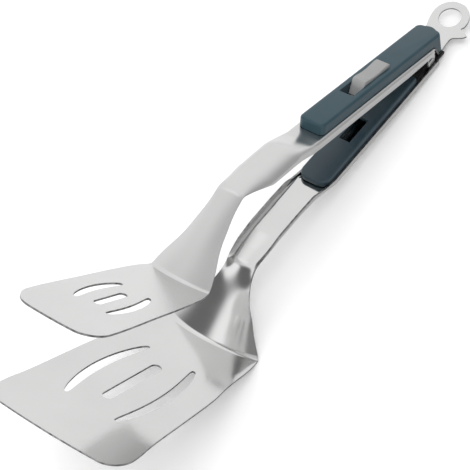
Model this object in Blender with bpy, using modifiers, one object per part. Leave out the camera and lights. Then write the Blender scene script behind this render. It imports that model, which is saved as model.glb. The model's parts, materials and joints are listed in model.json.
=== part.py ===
# Spatula tongs: two stamped steel arms on a sprung hinge, with plastic grips and a sliding lock.
# Each arm is designed in its own frame: the origin is on the hinge axis, +X runs to the rear,
# +Y to the far side and +Z up. The frames are then tilted so that the tongs stand on a table.
import math
from collections import namedtuple

import bmesh
import bpy
import numpy as np
from mathutils import Matrix, Vector

# Sheet and fits
SHEET = 0.0012
FIT_GAP = 0.0003
RUNNING_GAP = 0.00008
THREAD_GAP = 0.00015
CUT_OVERRUN = 0.002
OPEN_ANGLE = math.radians(14.5)

# Channel of both handles
CHANNEL_WIDTH = 0.0230
SHOULDER_RADIUS = 0.0020
UPPER_WEB_TOP = 0.0102
UPPER_FLANGE_DEPTH = 0.0046
LOWER_WEB_DROP = 0.0069
LOWER_FLANGE_DEPTH = 0.0055
CHANNEL_TAIL = 0.0010
LOWER_TAIL = 0.0058

# Upper arm's centre line, as runs from the hinge axis to the blade
UPPER_HANDLE_LENGTH = 0.1260
UPPER_CREST_RUN = 0.0195
UPPER_CREST_RISE = 0.0056
UPPER_CREST_DEPTH = 0.0055
UPPER_DIP_RUN = 0.0235
UPPER_DIP_FALL = 0.0016
UPPER_DIP_DEPTH = 0.0048
UPPER_ELBOW_RUN = 0.0235
UPPER_ELBOW_FALL = 0.0011
UPPER_ELBOW_DEPTH = 0.0008
UPPER_RISER_RUN = 0.0493
UPPER_RISER_DROP = 0.0332
UPPER_FOLD_BOW = 0.0035
UPPER_BLADE_LENGTH = 0.1090
UPPER_BLADE_PITCH = math.radians(23.7)
UPPER_NECK_WIDTH = 0.0246
UPPER_ELBOW_WIDTH = 0.0170
UPPER_FOLD_WIDTH = 0.0410
UPPER_BLADE_WIDTH = 0.0568

# Lower arm's centre line
LOWER_HANDLE_LENGTH = 0.1085
LOWER_RAMP_RUN = 0.0100
LOWER_RAMP_RISE = 0.0045
LOWER_RAMP_DEPTH = 0.0023
LOWER_STEP_RUN = 0.0105
LOWER_STEP_RISE = 0.0012
LOWER_STEP_DEPTH = 0.0049
LOWER_CREST_RUN = 0.0140
LOWER_CREST_RISE = 0.0004
LOWER_CREST_DEPTH = 0.0050
LOWER_NECK_RUN = 0.0210
LOWER_NECK_FALL = 0.0002
LOWER_NECK_DEPTH = 0.0050
LOWER_BEND_RUN = 0.0120
LOWER_BEND_FALL = 0.0012
LOWER_BEND_DEPTH = 0.0043
LOWER_ELBOW_RUN = 0.0115
LOWER_ELBOW_FALL = 0.0008
LOWER_ELBOW_DEPTH = 0.0024
LOWER_RISER_RUN = 0.0427
LOWER_RISER_DROP = 0.0259
LOWER_FOLD_BOW = 0.0064
LOWER_BLADE_LENGTH = 0.1385
LOWER_BLADE_PITCH = math.radians(28.3)
LOWER_NECK_WIDTH = 0.0214
LOWER_ELBOW_WIDTH = 0.0200
LOWER_FOLD_WIDTH = 0.0680
LOWER_BLADE_WIDTH = 0.0948

# Bends of the sheet, middle of its thickness
GENTLE_BEND = 0.0300
STEP_BEND = 0.0100
ELBOW_BEND = 0.0070
FOLD_BEND = 0.0040
LOOP_BEND = 0.0020
BLADE_CORNER = 0.0130
BLADE_BOW = 0.0020

# Widths along the runs, as (place, share) pairs between the widths of the run's two ends
NECK_SHARES = ((0.0, 0.0), (0.5, 0.55), (1.0, 1.0))
UPPER_RISER_SHARES = (
    (0.0, 0.0), (0.1, 0.01), (0.2, 0.05), (0.38, 0.19), (0.51, 0.30), (0.62, 0.44),
    (0.73, 0.63), (0.84, 0.81), (0.93, 0.93), (1.0, 1.0),
)
LOWER_RISER_SHARES = (
    (0.0, 0.0), (0.08, 0.0), (0.2, 0.03), (0.31, 0.095), (0.43, 0.19), (0.53, 0.32),
    (0.60, 0.43), (0.69, 0.54), (0.82, 0.72), (0.93, 0.89), (1.0, 1.0),
)
UPPER_BLADE_SHARES = (
    (0.0, 0.0), (0.11, 0.38), (0.26, 0.57), (0.33, 0.64), (0.52, 0.77), (0.66, 0.90), (0.83, 1.0), (1.0, 1.0),
)
LOWER_BLADE_SHARES = (
    (0.0, 0.0), (0.08, 0.18), (0.25, 0.36), (0.37, 0.57), (0.54, 0.70), (0.77, 0.85), (0.90, 1.0), (1.0, 1.0),
)

# Hanging loop, in the plate that leaves the upper web's end
LOOP_PITCH = math.radians(24.6)
LOOP_DIP_RUN = 0.0075
LOOP_DIP_FALL = 0.0085
LOOP_REACH = 0.0274
LOOP_HOLE_RADIUS = 0.0074
LOOP_RADIUS = 0.0126
LOOP_ROOT_WIDTH = 0.0172
LOOP_TIP_ANGLE = math.radians(10)
LOOP_HOOK_REACH = 0.0173
# Outline of the loop's far side and of its near side, with the hook: how far before the hole's
# centre, as shares of the loop's radius, and the half-width as shares of it
LOOP_FAR_SHARES = ((2.2, 0.68), (1.6, 0.72), (0.95, 0.84), (0.5, 0.95), (0.25, 0.985), (0.0, 1.0))
LOOP_NEAR_SHARES = ((2.2, 0.68), (1.6, 0.68), (1.27, 0.69), (1.06, 0.78))
LOOP_AFTER_HOOK_SHARES = ((0.44, 1.0), (0.40, 0.885), (0.2, 0.98), (0.0, 1.0))
# The hook itself: place before the hole's centre as shares of the loop's radius, reach as shares
LOOP_HOOK_SHARES = ((0.92, 0.76), (0.79, 0.925), (0.70, 0.985), (0.65, 1.0), (0.60, 0.975), (0.53, 0.87))

# Drain slots, measured from the fold along the blade
UPPER_SLOT_START = 0.0460
UPPER_SLOT_LENGTH = 0.0260
UPPER_SLOT_WIDTH = 0.0050
UPPER_CURVE_START = 0.0370
UPPER_CURVE_LENGTH = 0.0390
UPPER_CURVE_WIDTH = 0.0054
UPPER_CURVE_OFFSET = 0.0133
UPPER_CURVE_SAG = 0.0030
UPPER_CURVE_SKEW = 0.0007
LOWER_SLOT_START = 0.0435
LOWER_SLOT_LENGTH = 0.0480
LOWER_SLOT_WIDTH = 0.0070
LOWER_CURVE_START = 0.0325
LOWER_CURVE_LENGTH = 0.0710
LOWER_CURVE_WIDTH = 0.0068
LOWER_CURVE_OFFSET = 0.0231
LOWER_CURVE_SAG = 0.0058
LOWER_CURVE_SKEW = 0.0007

# Hinge
EAR_RADIUS = 0.0039
EAR_INSIDE = 0.0162
PIN_RADIUS = 0.00175
PIN_HEAD_RADIUS = 0.0034
PIN_HEAD_THICKNESS = 0.0005
BLOCK_CHEEK_RADIUS = 0.0040
BLOCK_CHEEK_OUTSIDE = 0.0152
BLOCK_RECESS_WIDTH = 0.0092
BLOCK_WALL_START = 0.0056
BLOCK_TAIL = 0.0142
BLOCK_TAIL_BEVEL = 0.0024
BLOCK_FLOOR = 0.0008
BLOCK_TONGUE_START = 0.0090
BLOCK_TONGUE_END = 0.0155
BLOCK_TONGUE_THICKNESS = 0.0030
SPRING_WIRE_RADIUS = 0.0007
SPRING_RADIUS = 0.0036
SPRING_TURNS = 3.4
SPRING_PITCH = 0.0020
SPRING_LOWER_LEG = 0.0078
SPRING_UPPER_LEG = 0.0120
SPRING_POINTS_A_TURN = 10

# Upper grip
GRIP_WIDTH = 0.0180
GRIP_TOP = 0.0175
GRIP_FRONT = 0.1175
GRIP_REAR = 0.0114
GRIP_FRONT_RAKE = 0.0010
GRIP_REAR_RAKE = 0.0034
GRIP_HEEL = 0.0036
GRIP_CORNER = 0.0026
GRIP_REAR_CORNER = 0.0040
GRIP_REAR_BOW = 0.0016
GRIP_EDGE = 0.0012
GRIP_WALL = 0.0018

# Lower grip, an insert in the channel
INSERT_TOP = 0.0030
INSERT_OVERHANG = 0.0097
INSERT_FRONT = LOWER_HANDLE_LENGTH + INSERT_OVERHANG
INSERT_REAR = 0.0170
INSERT_CORNER = 0.0060
INSERT_EDGE = 0.0007
INSERT_SKIN = 0.0020
WINDOW_FRONT = 0.0823
WINDOW_REAR = 0.0620
WINDOW_WIDTH = 0.0078

# Lock
BUTTON_WIDTH = 0.0092
BUTTON_FRONT = 0.0700
BUTTON_REAR = 0.0417
BUTTON_PROUD = 0.0027
BUTTON_EDGE = 0.0009
BUTTON_FOOT = 0.0018
CLICK_FRONT = 0.0530
CLICK_REAR = 0.0435
CLICK_WIDTH = 0.0050
CLICK_THICKNESS = 0.0003
CLICK_RISE = 0.0010
SLOT_FRONT = 0.0815
LOCK_TRAVEL = 0.0090
STEM_FRONT = 0.0620
STEM_LENGTH = 0.0080
STEM_WIDTH = 0.0044
HOOK_FRONT = 0.0665
HOOK_REAR = 0.0500
HOOK_WIDTH = 0.0060
HOOK_THICKNESS = 0.0012
HOOK_FOOT_TOP = 0.0018
HOOK_FOOT_REACH = 0.0092
# The button's scooped top: place along the button and height above the grip, as shares
BUTTON_TOP_SHARES = (
    (0.0, -1.0), (0.04, 0.55), (0.08, 1.0), (0.16, 0.98), (0.32, 0.72), (0.52, 0.62), (0.72, 0.80),
    (0.86, 1.0), (0.95, 0.92), (1.0, 0.6),
)

# Fasteners
SCREW_HEAD_RADIUS = 0.0026
SCREW_HEAD_HEIGHT = 0.0009
SCREW_SHANK_RADIUS = 0.0012
SCREW_BITE = 0.0045
GRIP_SCREW_FRONT = 0.0990
GRIP_SCREW_REAR = 0.0160
INSERT_SCREW_SETBACK = 0.0045
INSERT_SCREW_FRONT = LOWER_HANDLE_LENGTH - INSERT_SCREW_SETBACK
INSERT_SCREW_REAR = 0.0300
BLOCK_SCREW = 0.0122
LOCK_SCREW = 0.0580
BOSS_RADIUS = 0.0034

# How finely round shapes are cut
ROUND_SIDES = 32
BEND_ROWS = 3
WEB_COLUMNS = 4
SHOULDER_COLUMNS = 2

HALF_SHEET = SHEET / 2
UPPER_WEB = UPPER_WEB_TOP - HALF_SHEET
LOWER_WEB = HALF_SHEET - LOWER_WEB_DROP
LOWER_FLOOR = LOWER_WEB + HALF_SHEET + FIT_GAP
GRIP_BOTTOM = UPPER_WEB_TOP + FIT_GAP
WEB_UNDERSIDE = UPPER_WEB_TOP - SHEET

# A bend of an arm's centre line. edge_x and edge_z lead from the centre to the sheet's edge there,
# arch is 0 for a square channel, 1 for a round trough and 2 for a shallow bow, rows divides the run
Corner = namedtuple("Corner", "x z edge_x edge_z arch bend rows")

parts = bpy.data.collections.new("spatula_tongs")
cutters = bpy.data.collections.new("cutters")


def clear_scene():
    for item in list(bpy.data.objects):
        bpy.data.objects.remove(item, do_unlink=True)
    for collection in (parts, cutters):
        bpy.context.scene.collection.children.link(collection)


def material(name, color, roughness, metallic):
    made = bpy.data.materials.new(name)
    made.use_nodes = True
    shader = made.node_tree.nodes["Principled BSDF"]
    shader.inputs["Base Color"].default_value = (*color, 1)
    shader.inputs["Roughness"].default_value = roughness
    shader.inputs["Metallic"].default_value = metallic
    return made


def frame_empty(name, parent=None):
    empty = bpy.data.objects.new(name, None)
    parts.objects.link(empty)
    empty.parent = parent
    return empty


def solid(name, bm, frame, finish=None, round_off=True):
    # A cutter has no finish: it is drawn as wire and left out of a render
    bmesh.ops.recalc_face_normals(bm, faces=bm.faces)
    if bm.calc_volume(signed=True) < 0:
        bmesh.ops.reverse_faces(bm, faces=bm.faces)
    mesh = bpy.data.meshes.new(name)
    bm.to_mesh(mesh)
    bm.free()
    made = bpy.data.objects.new(name, mesh)
    made.parent = frame
    if finish is None:
        cutters.objects.link(made)
        made.hide_render = True
        made.display_type = "WIRE"
        return made
    parts.objects.link(made)
    made.data.materials.append(finish)
    if round_off:
        mesh.shade_smooth()
        mesh.set_sharp_from_angle(angle=math.radians(35))
    return made


def boolean(target, other, operation="DIFFERENCE"):
    modifier = target.modifiers.new(other.name, "BOOLEAN")
    modifier.operation = operation
    modifier.solver = "EXACT"
    modifier.object = other


def bevel(target, width, segments=3, angle=math.radians(40)):
    modifier = target.modifiers.new("edges", "BEVEL")
    modifier.width = width
    modifier.segments = segments
    modifier.limit_method = "ANGLE"
    modifier.angle_limit = angle


def flowing(table, at):
    # A smooth curve through (place, value) pairs that never swings past them
    table = np.array(sorted(table), float)
    places, values = table[:, 0], table[:, 1]
    step = np.diff(places)
    slope = np.diff(values) / step
    tangent = np.zeros(len(places))
    tangent[0], tangent[-1] = slope[0], slope[-1]
    before, after = slope[:-1], slope[1:]
    same = before * after > 0
    tangent[1:-1][same] = 2 * before[same] * after[same] / (before + after)[same]
    at = min(max(at, places[0]), places[-1])
    k = min(max(int(np.searchsorted(places, at)) - 1, 0), len(step) - 1)
    t = (at - places[k]) / step[k]
    start = (1 + 2 * t) * (1 - t) ** 2 * values[k] + t * (1 - t) ** 2 * step[k] * tangent[k]
    end = t * t * (3 - 2 * t) * values[k + 1] + t * t * (t - 1) * step[k] * tangent[k + 1]
    return start + end


def prism(outline, low, high, place=None):
    # A closed prism over an outline in the XY plane, from low to high in Z
    bm = bmesh.new()
    face = bm.faces.new([bm.verts.new((x, y, low)) for x, y in outline])
    raised = bmesh.ops.extrude_face_region(bm, geom=[face])["geom"]
    moved = [item for item in raised if isinstance(item, bmesh.types.BMVert)]
    bmesh.ops.translate(bm, verts=moved, vec=(0, 0, high - low))
    if place is not None:
        bm.transform(place)
    return bm


def side_prism(outline, half_width, centre=0):
    # A closed prism over an outline in the XZ plane, centred at y = centre
    upright = Matrix(((1, 0, 0, 0), (0, 0, -1, centre), (0, 1, 0, 0), (0, 0, 0, 1)))
    return prism(outline, -half_width, half_width, upright)


def cylinder(radius, low, high, place=None, sides=ROUND_SIDES):
    bm = bmesh.new()
    middle = Matrix.Translation((0, 0, (low + high) / 2))
    bmesh.ops.create_cone(
        bm, cap_ends=True, segments=sides, radius1=radius, radius2=radius, depth=high - low, matrix=middle
    )
    if place is not None:
        bm.transform(place)
    return bm


def box(low, high):
    bm = bmesh.new()
    size = [b - a for a, b in zip(low, high)]
    centre = [(a + b) / 2 for a, b in zip(low, high)]
    bmesh.ops.create_cube(bm, size=1, matrix=Matrix.Translation(centre) @ Matrix.Diagonal((*size, 1)))
    return bm


def along_y(x, z):
    # Turns a shape made along Z so that it lies along Y through (x, z)
    return Matrix.Translation((x, 0, z)) @ Matrix.Rotation(math.pi / 2, 4, "X")


def arc(centre_x, centre_y, radius, start, end, steps):
    # Points of a round corner, ends included
    turns = [start + (end - start) * k / steps for k in range(steps + 1)]
    return [(centre_x + radius * math.cos(a), centre_y + radius * math.sin(a)) for a in turns]


def rounded_outline(front, rear, half_width, front_corner, rear_corner, rear_bow=0.0):
    # Plan of a long grip, front and rear as places on X. The rear edge can bow outwards
    quarter = math.pi / 2
    points = []
    points += arc(front + front_corner, half_width - front_corner, front_corner, 2 * quarter, quarter, 5)
    points += arc(rear - rear_corner, half_width - rear_corner, rear_corner, quarter, 0, 5)
    inner = half_width - rear_corner
    for k in range(1, 6):
        y = inner * (1 - k / 3)
        points.append((rear + rear_bow * (1 - (y / inner) ** 2), y))
    points = points[:-1]
    points += arc(rear - rear_corner, rear_corner - half_width, rear_corner, 0, -quarter, 5)
    points += arc(front + front_corner, front_corner - half_width, front_corner, -quarter, -2 * quarter, 5)
    return points


def column_points(corners, spans):
    # Where one column of the sheet runs: straight runs joined by round bends, in X and Z.
    # spans lists each row as (run, share of the straight part) or (corner, share of the bend, "bend")
    points = [Vector((c[0], c[1])) for c in corners]
    directions = [(b - a).normalized() for a, b in zip(points, points[1:])]
    trims = [0.0] * len(points)
    for k in range(1, len(points) - 1):
        turn = directions[k - 1].angle(directions[k])
        trims[k] = corners[k][2] * math.tan(turn / 2)
    found = []
    for span in spans:
        k, share = span[0], span[1]
        if len(span) == 2:
            start = points[k] + directions[k] * trims[k]
            end = points[k + 1] - directions[k] * trims[k + 1]
            found.append(start.lerp(end, share))
            continue
        before, after = directions[k - 1], directions[k]
        start = points[k] - before * trims[k]
        turn = before.angle_signed(after)
        side = Vector((before.y, -before.x)) if turn > 0 else Vector((-before.y, before.x))
        centre = start + side * corners[k][2]
        arm = start - centre
        arm.rotate(Matrix.Rotation(-turn * share, 2))
        found.append(centre + arm)
    return found, trims


def blended(square, even, arch):
    # One point of a half section between the square channel, the round trough and the shallow bow
    trough = (math.sin(even * math.pi / 2), 1 - math.cos(even * math.pi / 2))
    first, second = (square, trough) if arch <= 1 else (trough, (even, even * even))
    share = arch if arch <= 1 else arch - 1
    return [a + (b - a) * share for a, b in zip(first, second)]


def channel_profile(half_width, depth):
    # Half of the handle's section: across and down, as shares of its half-width and depth
    flat = half_width - SHOULDER_RADIUS
    across = [flat * k / WEB_COLUMNS / half_width for k in range(WEB_COLUMNS + 1)]
    down = [0.0] * (WEB_COLUMNS + 1)
    for k in range(1, SHOULDER_COLUMNS + 1):
        turn = math.pi / 2 * k / SHOULDER_COLUMNS
        across.append((flat + SHOULDER_RADIUS * math.sin(turn)) / half_width)
        down.append(SHOULDER_RADIUS * (1 - math.cos(turn)) / depth)
    return across + [1.0], down + [1.0]


def sheet_arm(name, frame, finish, corners, depth, half_widths):
    # The stamped sheet. half_widths(run, share) gives the far and the near half-width of a row
    across, down = channel_profile(CHANNEL_WIDTH / 2 - HALF_SHEET, depth)
    count = len(across) - 1
    centre_line = [(c.x, c.z, c.bend) for c in corners]
    spans = []
    for k, corner in enumerate(corners[:-1]):
        if k and corner.bend:
            spans += [(k, (j + 0.5) / BEND_ROWS, "bend") for j in range(BEND_ROWS)]
        joined = 0 < k + 1 < len(corners) - 1 and not corners[k + 1].bend
        spans += [(k, share) for share in corner.rows if not (joined and share == 1)]
    _, trims = column_points(centre_line, spans)
    lengths = [math.dist(a[:2], b[:2]) for a, b in zip(centre_line, centre_line[1:])]
    places = []
    for span in spans:
        k, share = span[0], span[1]
        if len(span) == 2:
            start, end = trims[k] / lengths[k], 1 - trims[k + 1] / lengths[k]
            places.append((k, start + (end - start) * share))
        elif share < 0.5:
            places.append((k - 1, 1 - trims[k] / lengths[k - 1] * (1 - 2 * share)))
        else:
            places.append((k, trims[k] / lengths[k] * (2 * share - 1)))
    widths = [half_widths(*place) for place in places]
    arches = [corners[k].arch + (corners[k + 1].arch - corners[k].arch) * share for k, share in places]
    blade_run, tip_edge = len(corners) - 2, Vector((corners[-1].edge_x, corners[-1].edge_z))
    widest = max(max(width) for place, width in zip(places, widths) if place[0] == blade_run)
    bm = bmesh.new()
    grid = []
    for j in range(-count, count + 1):
        even, side = abs(j) / count, 0 if j > 0 else 1
        square = across[abs(j)], down[abs(j)]
        column = []
        for corner in corners:
            drop = blended(square, even, corner.arch)[1]
            column.append((corner.x + corner.edge_x * drop, corner.z + corner.edge_z * drop, corner.bend))
        line, _ = column_points(column, spans)
        verts = []
        for point, width, arch, place in zip(line, widths, arches, places):
            share = blended(square, even, arch)[0]
            if place[0] == blade_run:
                # The tip's bow follows the blade's own width, which shrinks in the round corners
                point = point - tip_edge * even * even * place[1] * (1 - (width[side] / widest) ** 2)
            verts.append(bm.verts.new((point.x, math.copysign(share * width[side], j), point.y)))
        grid.append(verts)
    for left, right in zip(grid, grid[1:]):
        for k in range(len(left) - 1):
            bm.faces.new((left[k], left[k + 1], right[k + 1], right[k]))
    arm = solid(name, bm, frame, finish)
    wall = arm.modifiers.new("sheet", "SOLIDIFY")
    wall.thickness = SHEET
    wall.offset = 0
    wall.use_even_offset = True
    return arm


def even_rows(count):
    return [k / count for k in range(count + 1)]


def blade_rows(length, count):
    # Rows of a blade: even ones, then closer ones that follow the round corners
    straight = 1 - BLADE_CORNER / length
    rows = [straight * k / count for k in range(count)]
    turns = [math.pi / 12 * k for k in range(7)]
    return rows + [straight + (1 - straight) * math.sin(turn) for turn in turns]


def blade_width(share, length, fold_width, blade_width_full, shares):
    full = (fold_width + (blade_width_full - fold_width) * flowing(shares, share)) / 2
    into = max(0.0, share * length - (length - BLADE_CORNER)) / BLADE_CORNER
    return full - BLADE_CORNER * (1 - math.sqrt(max(0.0, 1 - into * into)))


def between(first, second, shares, share):
    return (first + (second - first) * flowing(shares, share)) / 2


def slot_outline(start, length, width):
    # A straight slot with round ends, along X
    radius = width / 2
    rear = arc(start + radius, 0, radius, math.pi / 2, 3 * math.pi / 2, 8)
    front = arc(start + length - radius, 0, radius, -math.pi / 2, math.pi / 2, 8)
    return rear + front


def curved_outline(start, length, width, offset, sag, skew, side):
    # A slot that bows outwards and narrows to its round ends
    steps = 14
    middle, half = start + length / 2, length / 2

    def line(turn, edge):
        place = -math.cos(turn)
        swell = width / 2 * math.sin(turn) ** 0.6
        y = offset - sag * place * place + skew * place + edge * swell
        return middle + half * place, y * side

    turns = [math.pi * k / steps for k in range(steps + 1)]
    outer = [line(turn, 1) for turn in turns]
    inner = [line(turn, -1) for turn in reversed(turns[1:-1])]
    return outer + inner


def blade_place(corner, pitch):
    # X runs from the fold towards the tip in the blade, Z stands square on it
    tip = Vector((-math.cos(pitch), 0, math.sin(pitch)))
    up = Vector((math.sin(pitch), 0, math.cos(pitch)))
    across = up.cross(tip)
    turn = Matrix((tip, across, up)).transposed().to_4x4()
    return Matrix.Translation((corner.x, 0, corner.z)) @ turn


def cut_slots(arm, frame, corner, pitch, straight, curved):
    place = blade_place(corner, pitch)
    outlines = [slot_outline(*straight), curved_outline(*curved, 1), curved_outline(*curved, -1)]
    for k, outline in enumerate(outlines):
        bm = prism(outline, -CUT_OVERRUN, CUT_OVERRUN, place)
        boolean(arm, solid(f"{arm.name}_slot_{k}", bm, frame))


def loop_half_widths(before):
    # The loop's far and near half-widths at a place before the hole's centre, as a share of its radius
    if before < 0:
        wide = LOOP_RADIUS * math.sqrt(max(0.0, 1 - before * before))
        return wide, wide
    far = LOOP_RADIUS * flowing(LOOP_FAR_SHARES, before)
    near = [(place, LOOP_RADIUS * share) for place, share in LOOP_NEAR_SHARES]
    near += [(place, LOOP_HOOK_REACH * share) for place, share in LOOP_HOOK_SHARES]
    near += [(place, LOOP_RADIUS * share) for place, share in LOOP_AFTER_HOOK_SHARES]
    return far, flowing(near, before)


def build_upper_arm(frame, finish):
    web_half = CHANNEL_WIDTH / 2 - HALF_SHEET
    depth = UPPER_FLANGE_DEPTH - HALF_SHEET
    tail_x = CHANNEL_TAIL + UPPER_FLANGE_DEPTH / 3
    foot_x, foot_z = tail_x + LOOP_DIP_RUN, UPPER_WEB - LOOP_DIP_FALL
    plate = Vector((math.cos(LOOP_PITCH), math.sin(LOOP_PITCH)))
    loop_length = LOOP_REACH + LOOP_RADIUS * math.cos(LOOP_TIP_ANGLE)
    ring_end = Vector((foot_x, foot_z)) + plate * loop_length
    turns = [LOOP_TIP_ANGLE + (math.pi / 2 - LOOP_TIP_ANGLE) * k / 7 for k in range(8)]
    places = [-math.cos(turn) for turn in turns]
    places += sorted(place for place, _ in LOOP_HOOK_SHARES + LOOP_NEAR_SHARES[1:] + LOOP_AFTER_HOOK_SHARES[:3])
    plate_rows = [(place + math.cos(LOOP_TIP_ANGLE)) * LOOP_RADIUS / loop_length for place in places]

    fold_x = -UPPER_HANDLE_LENGTH - UPPER_CREST_RUN - UPPER_DIP_RUN - UPPER_ELBOW_RUN - UPPER_RISER_RUN
    crest_z = UPPER_WEB + UPPER_CREST_RISE
    dip_z = crest_z - UPPER_DIP_FALL
    elbow_x, elbow_z = fold_x + UPPER_RISER_RUN, dip_z - UPPER_ELBOW_FALL
    fold_z = elbow_z - UPPER_RISER_DROP
    tip_x = fold_x - UPPER_BLADE_LENGTH * math.cos(UPPER_BLADE_PITCH)
    tip_z = fold_z + UPPER_BLADE_LENGTH * math.sin(UPPER_BLADE_PITCH)
    bow_x, bow_z = UPPER_FOLD_BOW * math.cos(UPPER_BLADE_PITCH), -UPPER_FOLD_BOW * math.sin(UPPER_BLADE_PITCH)
    tip_bow_x, tip_bow_z = BLADE_BOW * math.cos(UPPER_BLADE_PITCH), -BLADE_BOW * math.sin(UPPER_BLADE_PITCH)
    crest_x = -UPPER_HANDLE_LENGTH - UPPER_CREST_RUN
    dip_x = crest_x - UPPER_DIP_RUN
    corners = [
        Corner(ring_end.x, ring_end.y, 0, 0, 2, 0, plate_rows),
        Corner(foot_x, foot_z, 0, 0, 2, LOOP_BEND, even_rows(3)),
        Corner(tail_x, UPPER_WEB, 0, 0, 2, LOOP_BEND, even_rows(2)),
        Corner(-CHANNEL_TAIL, UPPER_WEB, 0, -depth, 0, 0, even_rows(4)),
        Corner(-UPPER_HANDLE_LENGTH, UPPER_WEB, 0, -depth, 0, GENTLE_BEND, even_rows(3)),
        Corner(crest_x, crest_z, 0, -UPPER_CREST_DEPTH, 0.9, GENTLE_BEND, even_rows(3)),
        Corner(dip_x, dip_z, 0, -UPPER_DIP_DEPTH, 1, GENTLE_BEND, even_rows(3)),
        Corner(elbow_x, elbow_z, 0, -UPPER_ELBOW_DEPTH, 1.5, ELBOW_BEND, even_rows(8)),
        Corner(fold_x, fold_z, bow_x, bow_z, 2, FOLD_BEND, blade_rows(UPPER_BLADE_LENGTH, 8)),
        Corner(tip_x, tip_z, tip_bow_x, tip_bow_z, 2, 0, None),
    ]

    def half_widths(run, share):
        if run == 0:
            before = share * loop_length / LOOP_RADIUS - math.cos(LOOP_TIP_ANGLE)
            return loop_half_widths(before)
        if run == 1:
            wide = between(LOOP_ROOT_WIDTH, CHANNEL_WIDTH - SHEET - SHOULDER_RADIUS, NECK_SHARES, share)
        elif run == 2:
            wide = between(CHANNEL_WIDTH - SHEET - SHOULDER_RADIUS, CHANNEL_WIDTH - SHEET, NECK_SHARES, share)
        elif run == 3:
            wide = web_half
        elif run == 4:
            wide = between(2 * web_half, UPPER_NECK_WIDTH, NECK_SHARES, share)
        elif run == 5:
            wide = UPPER_NECK_WIDTH / 2
        elif run == 6:
            wide = between(UPPER_NECK_WIDTH, UPPER_ELBOW_WIDTH, NECK_SHARES, share)
        elif run == 7:
            wide = between(UPPER_ELBOW_WIDTH, UPPER_FOLD_WIDTH, UPPER_RISER_SHARES, share)
        else:
            wide = blade_width(
                share, UPPER_BLADE_LENGTH, UPPER_FOLD_WIDTH, UPPER_BLADE_WIDTH, UPPER_BLADE_SHARES
            )
        return wide, wide

    arm = sheet_arm("upper_arm", frame, finish, corners, depth, half_widths)
    straight = (UPPER_SLOT_START, UPPER_SLOT_LENGTH, UPPER_SLOT_WIDTH)
    curved = (
        UPPER_CURVE_START, UPPER_CURVE_LENGTH, UPPER_CURVE_WIDTH, UPPER_CURVE_OFFSET, UPPER_CURVE_SAG,
        UPPER_CURVE_SKEW,
    )
    cut_slots(arm, frame, corners[-2], UPPER_BLADE_PITCH, straight, curved)

    hole = Vector((foot_x, foot_z)) + plate * LOOP_REACH
    lean = Matrix.Translation((hole.x, 0, hole.y)) @ Matrix.Rotation(-LOOP_PITCH, 4, "Y")
    boolean(arm, solid("loop_hole", cylinder(LOOP_HOLE_RADIUS, -CUT_OVERRUN, CUT_OVERRUN, lean), frame))
    slot = box(
        (-STEM_FRONT - LOCK_TRAVEL - FIT_GAP, -STEM_WIDTH / 2 - FIT_GAP, WEB_UNDERSIDE - CUT_OVERRUN),
        (STEM_LENGTH - STEM_FRONT + FIT_GAP, STEM_WIDTH / 2 + FIT_GAP, UPPER_WEB_TOP + CUT_OVERRUN),
    )
    boolean(arm, solid("stem_slot", slot, frame))
    for k, x in enumerate((-GRIP_SCREW_FRONT, -GRIP_SCREW_REAR)):
        low, high = WEB_UNDERSIDE - CUT_OVERRUN, UPPER_WEB_TOP + CUT_OVERRUN
        bm = cylinder(SCREW_SHANK_RADIUS + FIT_GAP, low, high, Matrix.Translation((x, 0, 0)))
        boolean(arm, solid(f"web_hole_{k}", bm, frame))
    pin_hole = cylinder(PIN_RADIUS + RUNNING_GAP, -CHANNEL_WIDTH, CHANNEL_WIDTH, along_y(0, 0))
    hole_cutter = solid("ear_hole", pin_hole, frame)
    for side in (-1, 1):
        outline = [(-EAR_RADIUS, UPPER_WEB)] + arc(0, 0, EAR_RADIUS, math.pi, 2 * math.pi, 14)
        outline += [(EAR_RADIUS, EAR_RADIUS), (CHANNEL_TAIL, UPPER_WEB)]
        inside = EAR_INSIDE / 2
        bm = side_prism(outline, HALF_SHEET, side * (inside + HALF_SHEET))
        boolean(arm, solid(f"ear_{side}", bm, frame), "UNION")
    boolean(arm, hole_cutter)
    return arm, Vector((foot_x, foot_z)), plate


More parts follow.
